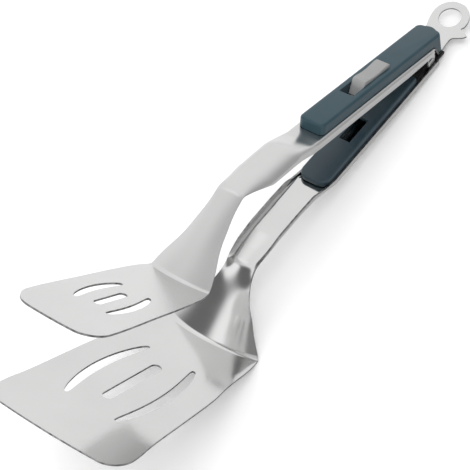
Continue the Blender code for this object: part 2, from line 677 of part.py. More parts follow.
def build_lower_arm(frame, finish):
    web_half = CHANNEL_WIDTH / 2 - HALF_SHEET
    depth = LOWER_FLANGE_DEPTH - HALF_SHEET
    runs = (
        (LOWER_RAMP_RUN, LOWER_RAMP_RISE, LOWER_RAMP_DEPTH, 0, STEP_BEND, 2),
        (LOWER_STEP_RUN, LOWER_STEP_RISE, LOWER_STEP_DEPTH, 0.3, STEP_BEND, 2),
        (LOWER_CREST_RUN, LOWER_CREST_RISE, LOWER_CREST_DEPTH, 0.5, GENTLE_BEND, 2),
        (LOWER_NECK_RUN, -LOWER_NECK_FALL, LOWER_NECK_DEPTH, 0.5, GENTLE_BEND, 2),
        (LOWER_BEND_RUN, -LOWER_BEND_FALL, LOWER_BEND_DEPTH, 0.7, STEP_BEND, 2),
        (LOWER_ELBOW_RUN, -LOWER_ELBOW_FALL, LOWER_ELBOW_DEPTH, 1.5, STEP_BEND, 9),
    )
    corners = [
        Corner(LOWER_TAIL, LOWER_WEB, 0, depth, 0, 0, even_rows(4)),
        Corner(-LOWER_HANDLE_LENGTH, LOWER_WEB, 0, depth, 0, STEP_BEND, even_rows(2)),
    ]
    for run, rise, edge, arch, bend, rows in runs:
        last = corners[-1]
        corners.append(Corner(last.x - run, last.z + rise, 0, edge, arch, bend, even_rows(rows)))
    fold_x, fold_z = corners[-1].x - LOWER_RISER_RUN, corners[-1].z - LOWER_RISER_DROP
    slope, rise = math.cos(LOWER_BLADE_PITCH), math.sin(LOWER_BLADE_PITCH)
    corners.append(
        Corner(
            fold_x, fold_z, LOWER_FOLD_BOW * slope, -LOWER_FOLD_BOW * rise, 2, FOLD_BEND,
            blade_rows(LOWER_BLADE_LENGTH, 9),
        )
    )
    tip_x, tip_z = fold_x - LOWER_BLADE_LENGTH * slope, fold_z + LOWER_BLADE_LENGTH * rise
    corners.append(Corner(tip_x, tip_z, BLADE_BOW * slope, -BLADE_BOW * rise, 2, 0, None))

    def half_widths(run, share):
        if run < 2:
            wide = web_half
        elif run == 2:
            wide = between(2 * web_half, LOWER_NECK_WIDTH, NECK_SHARES, share)
        elif run < 6:
            wide = LOWER_NECK_WIDTH / 2
        elif run == 6:
            wide = between(LOWER_NECK_WIDTH, LOWER_ELBOW_WIDTH, NECK_SHARES, share)
        elif run == 7:
            wide = between(LOWER_ELBOW_WIDTH, LOWER_FOLD_WIDTH, LOWER_RISER_SHARES, share)
        else:
            wide = blade_width(
                share, LOWER_BLADE_LENGTH, LOWER_FOLD_WIDTH, LOWER_BLADE_WIDTH, LOWER_BLADE_SHARES
            )
        return wide, wide

    arm = sheet_arm("lower_arm", frame, finish, corners, depth, half_widths)
    straight = (LOWER_SLOT_START, LOWER_SLOT_LENGTH, LOWER_SLOT_WIDTH)
    curved = (
        LOWER_CURVE_START, LOWER_CURVE_LENGTH, LOWER_CURVE_WIDTH, LOWER_CURVE_OFFSET, LOWER_CURVE_SAG,
        LOWER_CURVE_SKEW,
    )
    cut_slots(arm, frame, corners[-2], LOWER_BLADE_PITCH, straight, curved)
    for k, x in enumerate((-INSERT_SCREW_FRONT, -INSERT_SCREW_REAR, -BLOCK_SCREW)):
        low, high = LOWER_WEB - SHEET - CUT_OVERRUN, LOWER_WEB + SHEET + CUT_OVERRUN
        bm = cylinder(SCREW_SHANK_RADIUS + FIT_GAP, low, high, Matrix.Translation((x, 0, 0)))
        boolean(arm, solid(f"floor_hole_{k}", bm, frame))
    return arm


def build_upper_grip(frame, finish, foot, plate):
    outline = rounded_outline(
        -GRIP_FRONT, GRIP_REAR, GRIP_WIDTH / 2, GRIP_CORNER, GRIP_REAR_CORNER, GRIP_REAR_BOW
    )
    bm = prism(outline, GRIP_HEEL, GRIP_TOP)
    for vert in bm.verts:
        if vert.co.z < GRIP_TOP - GRIP_EDGE:
            ahead = vert.co.x < -GRIP_FRONT / 2
            vert.co.x += -GRIP_FRONT_RAKE if ahead else GRIP_REAR_RAKE
    grip = solid("upper_grip", bm, frame, finish)
    bevel(grip, GRIP_EDGE)

    # Everything under the steel's upper side is cleared, with the fit gap
    seat = HALF_SHEET + FIT_GAP
    across = Vector((-plate.y, plate.x))
    tail = Vector((CHANNEL_TAIL + UPPER_FLANGE_DEPTH / 3, UPPER_WEB))
    dip = (foot - tail).normalized()
    dip_across = Vector((-dip.y, dip.x))
    knee = tail + dip_across * seat - dip * (GRIP_BOTTOM - tail.y - dip_across.y * seat) / -dip.y
    # Where the seat over the dip meets the seat over the loop's plate
    over_foot = foot + across * seat
    gap = (tail + dip_across * seat) - over_foot
    reach = gap.dot(across) / -dip.dot(across)
    heel = tail + dip_across * seat + dip * reach
    ease = LOOP_BEND * math.tan(dip.angle(plate) / 2)
    before_heel, after_heel = heel - dip * ease, heel + plate * ease
    end = heel + plate * (GRIP_REAR + GRIP_REAR_RAKE)
    low = GRIP_HEEL - CUT_OVERRUN - GRIP_TOP
    underside = [
        (-GRIP_FRONT - CUT_OVERRUN, GRIP_BOTTOM), (knee.x, GRIP_BOTTOM), tuple(before_heel), tuple(after_heel),
        tuple(end), (end.x, low), (-GRIP_FRONT - CUT_OVERRUN, low),
    ]
    boolean(grip, solid("grip_seat", side_prism(underside, GRIP_WIDTH), frame))
    slot_half = BUTTON_WIDTH / 2 + FIT_GAP
    slot = box(
        (-SLOT_FRONT, -slot_half, GRIP_HEEL), (FIT_GAP - BUTTON_REAR, slot_half, GRIP_TOP + CUT_OVERRUN)
    )
    boolean(grip, solid("button_slot", slot, frame))
    # Hollows between the ribs that hold the screws
    inner = GRIP_WIDTH / 2 - GRIP_WALL
    hollows = (
        (-GRIP_FRONT + GRIP_WALL + GRIP_EDGE, -GRIP_SCREW_FRONT - BOSS_RADIUS),
        (-GRIP_SCREW_FRONT + BOSS_RADIUS, -SLOT_FRONT - GRIP_WALL),
        (FIT_GAP - BUTTON_REAR + GRIP_WALL, -GRIP_SCREW_REAR - BOSS_RADIUS),
        (-GRIP_SCREW_REAR + BOSS_RADIUS, -GRIP_WALL),
    )
    for k, (front, rear) in enumerate(hollows):
        bm = box((front, -inner, 0), (rear, inner, GRIP_TOP - GRIP_WALL))
        boolean(grip, solid(f"grip_hollow_{k}", bm, frame))
    for k, x in enumerate((-GRIP_SCREW_FRONT, -GRIP_SCREW_REAR)):
        top = UPPER_WEB_TOP + SCREW_BITE + FIT_GAP
        bm = cylinder(SCREW_SHANK_RADIUS + THREAD_GAP, 0, top, Matrix.Translation((x, 0, 0)))
        boolean(grip, solid(f"grip_pilot_{k}", bm, frame))
    return grip


def build_lower_grip(frame, finish):
    half_width = CHANNEL_WIDTH / 2 - SHEET - FIT_GAP
    outline = rounded_outline(-INSERT_FRONT, -INSERT_REAR, half_width, INSERT_CORNER, INSERT_EDGE * 2)
    insert = solid("lower_grip", prism(outline, LOWER_FLOOR, INSERT_TOP), frame, finish)
    bevel(insert, INSERT_EDGE)
    # The channel's shoulder is round inside, so the insert's lower edges are cut off
    chamfer = SHOULDER_RADIUS
    for side in (-1, 1):
        outer = side * (half_width + CUT_OVERRUN)
        wedge = [
            (outer, LOWER_FLOOR - CUT_OVERRUN), (side * (half_width - chamfer) - side * CUT_OVERRUN,
            LOWER_FLOOR - CUT_OVERRUN), (outer, LOWER_FLOOR + chamfer + CUT_OVERRUN),
        ]
        bm = prism(wedge, -INSERT_FRONT - CUT_OVERRUN, CUT_OVERRUN - INSERT_REAR)
        bm.transform(Matrix(((0, 0, 1, 0), (1, 0, 0, 0), (0, 1, 0, 0), (0, 0, 0, 1))))
        boolean(insert, solid(f"insert_chamfer_{side}", bm, frame))
    # Before the handle's end the steel ramps up under the insert, so its underside follows the ramp
    slope = LOWER_RAMP_RISE / LOWER_RAMP_RUN
    ramp_floor = LOWER_WEB + (HALF_SHEET + 2 * FIT_GAP) / math.cos(math.atan(slope))
    outer = half_width + CUT_OVERRUN
    under = [
        (-outer, LOWER_FLOOR - INSERT_CORNER), (outer, LOWER_FLOOR - INSERT_CORNER),
        (outer, ramp_floor + chamfer + CUT_OVERRUN), (half_width - chamfer, ramp_floor),
        (chamfer - half_width, ramp_floor), (-outer, ramp_floor + chamfer + CUT_OVERRUN),
    ]
    bm = prism(under, -INSERT_FRONT - CUT_OVERRUN, INSERT_CORNER - LOWER_HANDLE_LENGTH)
    bm.transform(Matrix(((0, 0, 1, 0), (1, 0, 0, 0), (0, 1, 0, 0), (0, 0, 0, 1))))
    lean = ((1, 0, 0, 0), (0, 1, 0, 0), (-slope, 0, 1, -slope * LOWER_HANDLE_LENGTH), (0, 0, 0, 1))
    bm.transform(Matrix(lean))
    boolean(insert, solid("insert_ramp", bm, frame))
    inner = half_width - SHOULDER_RADIUS - SHEET
    hollows = (
        (-INSERT_FRONT + INSERT_CORNER, -INSERT_SCREW_FRONT - BOSS_RADIUS),
        (-INSERT_SCREW_FRONT + BOSS_RADIUS, -INSERT_SCREW_REAR - BOSS_RADIUS),
        (-INSERT_SCREW_REAR + BOSS_RADIUS, -INSERT_REAR - INSERT_SKIN),
    )
    for k, (front, rear) in enumerate(hollows):
        bm = box((front, -inner, LOWER_FLOOR - CUT_OVERRUN), (rear, inner, INSERT_TOP - INSERT_SKIN))
        boolean(insert, solid(f"insert_hollow_{k}", bm, frame))
    window = box(
        (-WINDOW_FRONT, -WINDOW_WIDTH / 2, 0), (-WINDOW_REAR, WINDOW_WIDTH / 2, INSERT_TOP + CUT_OVERRUN)
    )
    boolean(insert, solid("lock_window", window, frame))
    for k, x in enumerate((-INSERT_SCREW_FRONT, -INSERT_SCREW_REAR)):
        top = LOWER_FLOOR + SCREW_BITE + FIT_GAP
        low = LOWER_FLOOR - CUT_OVERRUN
        bm = cylinder(SCREW_SHANK_RADIUS + THREAD_GAP, low, top, Matrix.Translation((x, 0, 0)))
        boolean(insert, solid(f"insert_pilot_{k}", bm, frame))
    return insert


def build_hinge_block(frame, finish, foot, plate):
    # The plate of the loop rests on the block's tail when the tongs are open
    turn = Matrix.Rotation(-OPEN_ANGLE, 2)
    stop_at = turn @ foot
    stop_along = turn @ plate
    stop_across = Vector((-stop_along.y, stop_along.x))
    under = stop_at - stop_across * (HALF_SHEET + FIT_GAP)
    at_tail = under + stop_along * ((BLOCK_TAIL - under.x) / stop_along.x)
    wide_half = CHANNEL_WIDTH / 2 - SHEET - FIT_GAP
    tail = [
        (BLOCK_WALL_START, LOWER_FLOOR), (BLOCK_TAIL - BLOCK_TAIL_BEVEL, LOWER_FLOOR),
        (BLOCK_TAIL, LOWER_FLOOR + BLOCK_TAIL_BEVEL), (at_tail.x, at_tail.y), (under.x, under.y),
        (BLOCK_WALL_START, under.y),
    ]
    block = solid("hinge_block", side_prism(tail, wide_half), frame, finish)
    cheek_half = BLOCK_CHEEK_OUTSIDE / 2
    tongue_top = LOWER_FLOOR + BLOCK_TONGUE_THICKNESS
    body = [(BLOCK_WALL_START + BLOCK_FLOOR, LOWER_FLOOR)]
    body.append((BLOCK_WALL_START + BLOCK_FLOOR, under.y - BLOCK_FLOOR))
    body += arc(0, 0, BLOCK_CHEEK_RADIUS, 0, math.pi, 14)
    body += [
        (-BLOCK_CHEEK_RADIUS, tongue_top), (-BLOCK_TONGUE_END, tongue_top), (-BLOCK_TONGUE_END, LOWER_FLOOR),
    ]
    boolean(block, solid("block_body", side_prism(body, cheek_half), frame), "UNION")
    recess = box(
        (-BLOCK_TONGUE_START, -BLOCK_RECESS_WIDTH / 2, LOWER_FLOOR + BLOCK_FLOOR),
        (BLOCK_WALL_START - BLOCK_FLOOR, BLOCK_RECESS_WIDTH / 2, BLOCK_CHEEK_RADIUS + CUT_OVERRUN),
    )
    boolean(block, solid("block_recess", recess, frame))
    # Lower corners that the channel's round shoulder needs clear
    for side in (-1, 1):
        outer = side * (wide_half + CUT_OVERRUN)
        inner = side * (wide_half - SHOULDER_RADIUS - CUT_OVERRUN)
        low = LOWER_FLOOR - CUT_OVERRUN
        wedge = [(outer, low), (inner, low), (outer, LOWER_FLOOR + SHOULDER_RADIUS + CUT_OVERRUN)]
        bm = prism(wedge, BLOCK_WALL_START - CUT_OVERRUN, BLOCK_TAIL + CUT_OVERRUN)
        bm.transform(Matrix(((0, 0, 1, 0), (1, 0, 0, 0), (0, 1, 0, 0), (0, 0, 0, 1))))
        boolean(block, solid(f"block_chamfer_{side}", bm, frame))
    bore = cylinder(PIN_RADIUS + RUNNING_GAP, -CHANNEL_WIDTH, CHANNEL_WIDTH, along_y(0, 0))
    boolean(block, solid("block_bore", bore, frame))
    low, high = LOWER_FLOOR - CUT_OVERRUN, tongue_top + CUT_OVERRUN
    pilot = cylinder(SCREW_SHANK_RADIUS + THREAD_GAP, low, high, Matrix.Translation((-BLOCK_SCREW, 0, 0)))
    boolean(block, solid("block_pilot", pilot, frame))
    return block


def build_hinge_pin(frame, finish):
    # A turned profile: shank and two thin heads outside the ears
    ear_outside = EAR_INSIDE / 2 + SHEET
    head_start = ear_outside + THREAD_GAP
    end = head_start + PIN_HEAD_THICKNESS
    edge = PIN_HEAD_THICKNESS / 2
    profile = [
        (0, end), (PIN_HEAD_RADIUS - edge, end), (PIN_HEAD_RADIUS, end - edge), (PIN_HEAD_RADIUS, head_start),
        (PIN_RADIUS, head_start), (PIN_RADIUS, -head_start), (PIN_HEAD_RADIUS, -head_start),
        (PIN_HEAD_RADIUS, edge - end), (PIN_HEAD_RADIUS - edge, -end), (0, -end),
    ]
    return turned("hinge_pin", frame, finish, profile, along_y(0, 0))


def turned(name, frame, finish, profile, place):
    bm = bmesh.new()
    verts = [bm.verts.new((r, 0, z)) for r, z in profile]
    for a, b in zip(verts, verts[1:]):
        bm.edges.new((a, b))
    bmesh.ops.spin(
        bm, geom=list(bm.verts) + list(bm.edges), cent=(0, 0, 0), axis=(0, 0, 1),
        angle=2 * math.pi, steps=ROUND_SIDES, use_merge=True,
    )
    bmesh.ops.remove_doubles(bm, verts=bm.verts, dist=RUNNING_GAP / 10)
    bm.transform(place)
    return solid(name, bm, frame, finish)


def screw(name, frame, finish, x, seat, length):
    # A pan-head screw whose head lies against the seat, its shank pointing up
    edge = SCREW_HEAD_HEIGHT / 3
    profile = [
        (0, length), (SCREW_SHANK_RADIUS - edge, length), (SCREW_SHANK_RADIUS, length - edge),
        (SCREW_SHANK_RADIUS, 0), (SCREW_HEAD_RADIUS, 0), (SCREW_HEAD_RADIUS, -SCREW_HEAD_HEIGHT + edge),
        (SCREW_HEAD_RADIUS - edge, -SCREW_HEAD_HEIGHT), (0, -SCREW_HEAD_HEIGHT),
    ]
    made = turned(name, frame, finish, profile, Matrix.Translation((x, 0, seat)))
    low = seat - SCREW_HEAD_HEIGHT
    for k, (length_x, length_y) in enumerate(((SCREW_HEAD_RADIUS, edge), (edge, SCREW_HEAD_RADIUS))):
        bm = box(
            (x - length_x / 2, -length_y / 2, low - edge), (x + length_x / 2, length_y / 2, low + edge)
        )
        boolean(made, solid(f"{name}_drive_{k}", bm, frame))
    return made


def build_spring(frame, finish):
    # One wire: a leg on the block's floor, the turns round the pin, a leg under the upper web
    rise = SPRING_PITCH * SPRING_TURNS
    points = [Vector((-SPRING_LOWER_LEG, -rise / 2, -SPRING_RADIUS))]
    # The upper leg leaves the coil on the tangent that meets the upper web's underside
    rest = WEB_UNDERSIDE - SPRING_WIRE_RADIUS - FIT_GAP
    end = Matrix.Rotation(-OPEN_ANGLE, 2) @ Vector((-SPRING_UPPER_LEG, rest))
    reach = end.length
    leave = math.atan2(end.y, end.x) - math.acos(SPRING_RADIUS / reach)
    start = -math.pi / 2
    total = 2 * math.pi * math.floor(SPRING_TURNS) + (leave - start) % (2 * math.pi)
    steps = round(SPRING_POINTS_A_TURN * total / (2 * math.pi))
    for k in range(steps + 1):
        angle = start + total * k / steps
        y = -rise / 2 + rise * k / steps
        points.append(Vector((SPRING_RADIUS * math.cos(angle), y, SPRING_RADIUS * math.sin(angle))))
    points.append(Vector((end.x, rise / 2, end.y)))
    curve = bpy.data.curves.new("hinge_spring", "CURVE")
    curve.dimensions = "3D"
    curve.bevel_depth = SPRING_WIRE_RADIUS
    curve.bevel_resolution = 1
    curve.use_fill_caps = True
    spline = curve.splines.new("POLY")
    spline.points.add(len(points) - 1)
    for point, place in zip(spline.points, points):
        point.co = (*place, 1)
    curve.materials.append(finish)
    made = bpy.data.objects.new("hinge_spring", curve)
    parts.objects.link(made)
    made.parent = frame
    print("hinge spring, least gap to itself in mm:", round(1000 * least_gap(points), 3))
    return made


def least_gap(points):
    # Between the wire's surfaces, for stretches more than half a turn apart
    fine = []
    for a, b in zip(points, points[1:]):
        fine += [a.lerp(b, k / 6) for k in range(6)]
    fine = np.array([tuple(point) for point in fine])
    apart = 3 * SPRING_POINTS_A_TURN
    least = min(np.linalg.norm(fine[k + apart:] - fine[k], axis=1).min() for k in range(len(fine) - apart))
    return least - 2 * SPRING_WIRE_RADIUS


def build_button(frame, finish):
    length = BUTTON_FRONT - BUTTON_REAR
    outline = [(-BUTTON_REAR, GRIP_BOTTOM), (-BUTTON_FRONT - BUTTON_FOOT, GRIP_BOTTOM)]
    for place, height in BUTTON_TOP_SHARES:
        outline.append((-BUTTON_FRONT + length * place, GRIP_TOP + BUTTON_PROUD * height))
    button = solid("lock_button", side_prism(outline, BUTTON_WIDTH / 2), frame, finish)
    bevel(button, BUTTON_EDGE, 2, math.radians(60))
    # The stem reaches through the steel's slot to the hook plate
    stem = box(
        (-STEM_FRONT, -STEM_WIDTH / 2, WEB_UNDERSIDE - FIT_GAP / 2),
        (STEM_LENGTH - STEM_FRONT, STEM_WIDTH / 2, GRIP_BOTTOM + FIT_GAP),
    )
    boolean(button, solid("button_stem", stem, frame), "UNION")
    top = WEB_UNDERSIDE + SCREW_BITE + FIT_GAP
    pilot = cylinder(SCREW_SHANK_RADIUS + THREAD_GAP, 0, top, Matrix.Translation((-LOCK_SCREW, 0, 0)))
    boolean(button, solid("button_pilot", pilot, frame))
    # The leaf spring sits in a pocket under the button
    pocket = box(
        (-CLICK_FRONT - FIT_GAP, -CLICK_WIDTH / 2 - FIT_GAP, UPPER_WEB_TOP),
        (FIT_GAP - CLICK_REAR, CLICK_WIDTH / 2 + FIT_GAP, UPPER_WEB_TOP + CLICK_RISE + 3 * FIT_GAP),
    )
    boolean(button, solid("click_pocket", pocket, frame))
    return button


def build_click_leaf(frame, finish):
    # A bowed strip: its ends drag on the steel's back, its crown pushes the button up
    steps = 10
    length = CLICK_FRONT - CLICK_REAR
    low = [
        (-CLICK_REAR - length * k / steps, UPPER_WEB_TOP + THREAD_GAP + CLICK_RISE * math.sin(math.pi * k / steps))
        for k in range(steps + 1)
    ]
    high = [(x, z + CLICK_THICKNESS) for x, z in reversed(low)]
    return solid("lock_spring", side_prism(low + high, CLICK_WIDTH / 2), frame, finish)


def build_hook(frame, finish):
    # A bent strip: plate under the web, tongue down, foot forward
    top = WEB_UNDERSIDE - 2 * FIT_GAP
    foot_top = -HOOK_FOOT_TOP
    thick = HOOK_THICKNESS
    outline = [
        (-HOOK_REAR, top), (-HOOK_FRONT, top), (-HOOK_FRONT, foot_top), (-HOOK_FRONT - HOOK_FOOT_REACH, foot_top),
        (-HOOK_FRONT - HOOK_FOOT_REACH, foot_top - thick), (thick - HOOK_FRONT, foot_top - thick),
        (thick - HOOK_FRONT, top - thick), (-HOOK_REAR, top - thick),
    ]
    hook = solid("lock_hook", side_prism(outline, HOOK_WIDTH / 2), frame, finish)
    hole = cylinder(SCREW_SHANK_RADIUS + FIT_GAP, 0, UPPER_WEB_TOP, Matrix.Translation((-LOCK_SCREW, 0, 0)))
    boolean(hook, solid("hook_hole", hole, frame))
    return hook


def lowest_tilt(objects):
    # The turn about the hinge axis at which the heel and the fold of the lower arm both touch the table
    graph = bpy.context.evaluated_depsgraph_get()
    points = []
    for item in objects:
        mesh = item.evaluated_get(graph).to_mesh()
        points += [(vert.co.x, vert.co.z) for vert in mesh.vertices]
    points = np.array(points)
    front = points[points[:, 0] < -LOWER_HANDLE_LENGTH]
    rear = points[points[:, 0] >= -LOWER_HANDLE_LENGTH]

    def lowest(group, tilt):
        return (-group[:, 0] * math.sin(tilt) + group[:, 1] * math.cos(tilt)).min()

    low, high = 0.0, math.radians(30)
    for _ in range(40):
        tilt = (low + high) / 2
        if lowest(front, tilt) < lowest(rear, tilt):
            low = tilt
        else:
            high = tilt
    return tilt


def stand_on_table(root, objects):
    # The origin is under the middle of the tongs, on the table
    bpy.context.view_layer.update()
    graph = bpy.context.evaluated_depsgraph_get()
    corners = []
    for item in objects:
        evaluated = item.evaluated_get(graph)
        mesh = evaluated.to_mesh()
        points = np.array([tuple(evaluated.matrix_world @ vert.co) for vert in mesh.vertices])
        corners += [points.min(axis=0), points.max(axis=0)]
        evaluated.to_mesh_clear()
    low, high = np.min(corners, axis=0), np.max(corners, axis=0)
    root.location = (-(low[0] + high[0]) / 2, -(low[1] + high[1]) / 2, -low[2])
    bpy.context.view_layer.update()
    print("size in mm:", np.round((high - low) * 1000, 2), "hinge at", np.round(np.array(root.location) * 1000, 3))


def main():
    clear_scene()
    steel = material("polished_steel", (0.66, 0.66, 0.65), 0.12, 1)
    teal = material("teal_plastic", (0.062, 0.098, 0.117), 0.42, 0)
    grey = material("grey_plastic", (0.40, 0.38, 0.37), 0.45, 0)
    black = material("black_plastic", (0.02, 0.02, 0.02), 0.5, 0)
    plated = material("plated_steel", (0.60, 0.60, 0.60), 0.25, 1)

    root = frame_empty("tongs")
    lower = frame_empty("lower_frame", root)
    upper = frame_empty("upper_frame", lower)
    lock = frame_empty("lock_frame", upper)

    upper_arm, foot, plate = build_upper_arm(upper, steel)
    lower_arm = build_lower_arm(lower, steel)
    made = [upper_arm, lower_arm]
    made.append(build_upper_grip(upper, teal, foot, plate))
    made.append(build_lower_grip(lower, teal))
    made.append(build_hinge_block(lower, black, foot, plate))
    made.append(build_hinge_pin(upper, plated))
    made.append(build_spring(lower, plated))
    made.append(build_button(lock, grey))
    made.append(build_hook(lock, plated))
    made.append(build_click_leaf(lock, plated))
    hook_under = WEB_UNDERSIDE - 3 * FIT_GAP - HOOK_THICKNESS
    lock_bite = SCREW_BITE + WEB_UNDERSIDE - hook_under - FIT_GAP
    made.append(screw("lock_screw", lock, plated, -LOCK_SCREW, hook_under, lock_bite))
    for name, x in (("grip_screw_front", -GRIP_SCREW_FRONT), ("grip_screw_rear", -GRIP_SCREW_REAR)):
        made.append(screw(name, upper, plated, x, WEB_UNDERSIDE - FIT_GAP, SCREW_BITE + SHEET))
    under = LOWER_WEB - HALF_SHEET - FIT_GAP
    for name, x in (("insert_screw_front", -INSERT_SCREW_FRONT), ("insert_screw_rear", -INSERT_SCREW_REAR)):
        made.append(screw(name, lower, plated, x, under, SCREW_BITE + SHEET))
    made.append(screw("block_screw", lower, plated, -BLOCK_SCREW, under, BLOCK_TONGUE_THICKNESS + SHEET))

    bpy.context.view_layer.update()
    tilt = lowest_tilt([lower_arm])
    lower.rotation_euler.y = tilt
    upper.rotation_euler.y = OPEN_ANGLE
    print("tilt in degrees:", round(math.degrees(tilt), 4))
    stand_on_table(root, made)


main()
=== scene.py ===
import json
import math

import bpy
import numpy as np
from mathutils import Matrix, Vector


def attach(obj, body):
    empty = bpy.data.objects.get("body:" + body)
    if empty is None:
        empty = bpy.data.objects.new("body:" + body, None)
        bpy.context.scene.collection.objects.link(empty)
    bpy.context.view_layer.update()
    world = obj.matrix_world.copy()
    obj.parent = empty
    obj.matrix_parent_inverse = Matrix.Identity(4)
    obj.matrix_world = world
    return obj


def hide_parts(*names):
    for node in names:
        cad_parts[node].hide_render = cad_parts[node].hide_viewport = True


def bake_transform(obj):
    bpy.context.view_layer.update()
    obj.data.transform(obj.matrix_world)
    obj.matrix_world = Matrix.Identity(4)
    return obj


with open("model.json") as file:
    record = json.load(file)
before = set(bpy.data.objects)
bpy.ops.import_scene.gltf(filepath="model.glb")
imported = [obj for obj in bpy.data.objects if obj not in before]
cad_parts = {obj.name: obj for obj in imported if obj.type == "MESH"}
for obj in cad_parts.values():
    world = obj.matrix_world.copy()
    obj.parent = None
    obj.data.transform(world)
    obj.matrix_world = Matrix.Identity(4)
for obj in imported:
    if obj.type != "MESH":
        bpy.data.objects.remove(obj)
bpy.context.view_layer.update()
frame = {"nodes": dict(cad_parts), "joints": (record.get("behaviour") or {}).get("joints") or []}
print("frame loaded:", len(frame["nodes"]), "nodes")


# each arm lies in its own frame: origin on the hinge pin, X to the rear, Z up
joints = {joint["name"]: joint for joint in frame["joints"]}
hinge = Vector(joints["arm_hinge"]["pos_m"])
slideAxis = Vector(joints["lock_slide"]["axis"])
openAngle = math.radians(14.5)
upperTurn = math.atan2(slideAxis.z, -slideAxis.x)
upperFrame = Matrix.Translation(hinge) @ Matrix.Rotation(upperTurn, 4, "Y")
lowerFrame = Matrix.Translation(hinge) @ Matrix.Rotation(upperTurn - openAngle, 4, "Y")

# sizes that several pieces share, in metres; places along an arm are counted from the pin
shared = {
    "webHalf": 0.0109, "upperWeb": 0.0096, "lowerWeb": -0.0063, "lowerFloor": -0.0054,
    "handleEnd": -0.1085, "dipTop": 0.0010 + 0.0046 / 3, "dipRun": 0.0075, "dipFall": 0.0085,
    "dipBend": 0.0020, "loopPitch": math.radians(24.6), "offSheet": 0.0009, "pinBore": 0.00183,
    "borePoints": 48, "screwHole": 0.0015, "pilotHole": 0.00135, "holePoints": 32,
    "upperScrews": (-0.0990, -0.0160), "lowerScrews": (-0.1040, -0.0300), "blockScrew": -0.0122,
    "lockScrew": -0.0580,
}


def dipPoints():
    # the upper sheet's dip behind the pin: its top, its foot, and the way up along the loop's plate
    top = Vector((shared["dipTop"], shared["upperWeb"]))
    foot = top + Vector((shared["dipRun"], -shared["dipFall"]))
    plate = Vector((math.cos(shared["loopPitch"]), math.sin(shared["loopPitch"])))
    return top, foot, plate


# node helpers for every material

def newMaterial(name):
    mat = bpy.data.materials.new(name)
    mat.use_nodes = True
    nodes, links = mat.node_tree.nodes, mat.node_tree.links
    return mat, nodes, links, nodes["Principled BSDF"]


def objectPattern(nodes, links, scale, detail, stretch=(1, 1, 1)):
    # noise on Object coordinates, through a Mapping node
    place = nodes.new("ShaderNodeTexCoord")
    mapping = nodes.new("ShaderNodeMapping")
    mapping.inputs["Scale"].default_value = stretch
    texture = nodes.new("ShaderNodeTexNoise")
    texture.inputs["Scale"].default_value = scale
    texture.inputs["Detail"].default_value = detail
    links.new(place.outputs["Object"], mapping.inputs["Vector"])
    links.new(mapping.outputs["Vector"], texture.inputs["Vector"])
    return texture.outputs["Fac"]


patternRange = (0.3, 0.7)


def remap(nodes, links, source, fromLow, fromHigh, low=0.0, high=1.0, kind="SMOOTHSTEP"):
    node = nodes.new("ShaderNodeMapRange")
    node.interpolation_type = kind
    for name, value in zip(("From Min", "From Max", "To Min", "To Max"), (fromLow, fromHigh, low, high)):
        node.inputs[name].default_value = value
    links.new(source, node.inputs["Value"])
    return node.outputs["Result"]


def tint(nodes, links, source, dark, light):
    ramp = nodes.new("ShaderNodeValToRGB")
    for stop, place, colour in zip(ramp.color_ramp.elements, patternRange, (dark, light)):
        stop.position = place
        stop.color = (*colour, 1)
    links.new(source, ramp.inputs["Fac"])
    return ramp.outputs["Color"]


def bump(nodes, links, shader, source, strength, distance):
    node = nodes.new("ShaderNodeBump")
    node.inputs["Strength"].default_value = strength
    node.inputs["Distance"].default_value = distance
    links.new(source, node.inputs["Height"])
    links.new(node.outputs["Normal"], shader.inputs["Normal"])


# camera, floor and light

cameraLook = {
    "place": (-0.37589, -0.45504, 0.84334), "turn": (33.88852, 11.8928, -53.79403), "lens": 130.2,
    "sensor": 36.0, "clipStart": 0.05,
}


def addCamera():
    bpy.ops.object.camera_add(location=cameraLook["place"])
    camera = bpy.context.object
    camera.name = "photoCamera"
    camera.rotation_euler = [math.radians(angle) for angle in cameraLook["turn"]]
    camera.data.lens = cameraLook["lens"]
    camera.data.sensor_width = cameraLook["sensor"]
    camera.data.clip_start = cameraLook["clipStart"]
    bpy.context.scene.camera = camera
    bpy.context.scene.view_settings.view_transform = "Standard"
    print("camera placed")


# the floor's near tone is painted shade, seen only in the steel's reflections of the floor
floorLook = {
    "size": 6.0, "below": 0.0002, "dark": (0.955, 0.955, 0.955), "light": (0.965, 0.965, 0.965),
    "clouds": (3.0, 2.0), "rough": 0.8, "lift": 0.12, "mirroredShadeTone": 0.62, "near": -0.05, "far": 0.06,
}


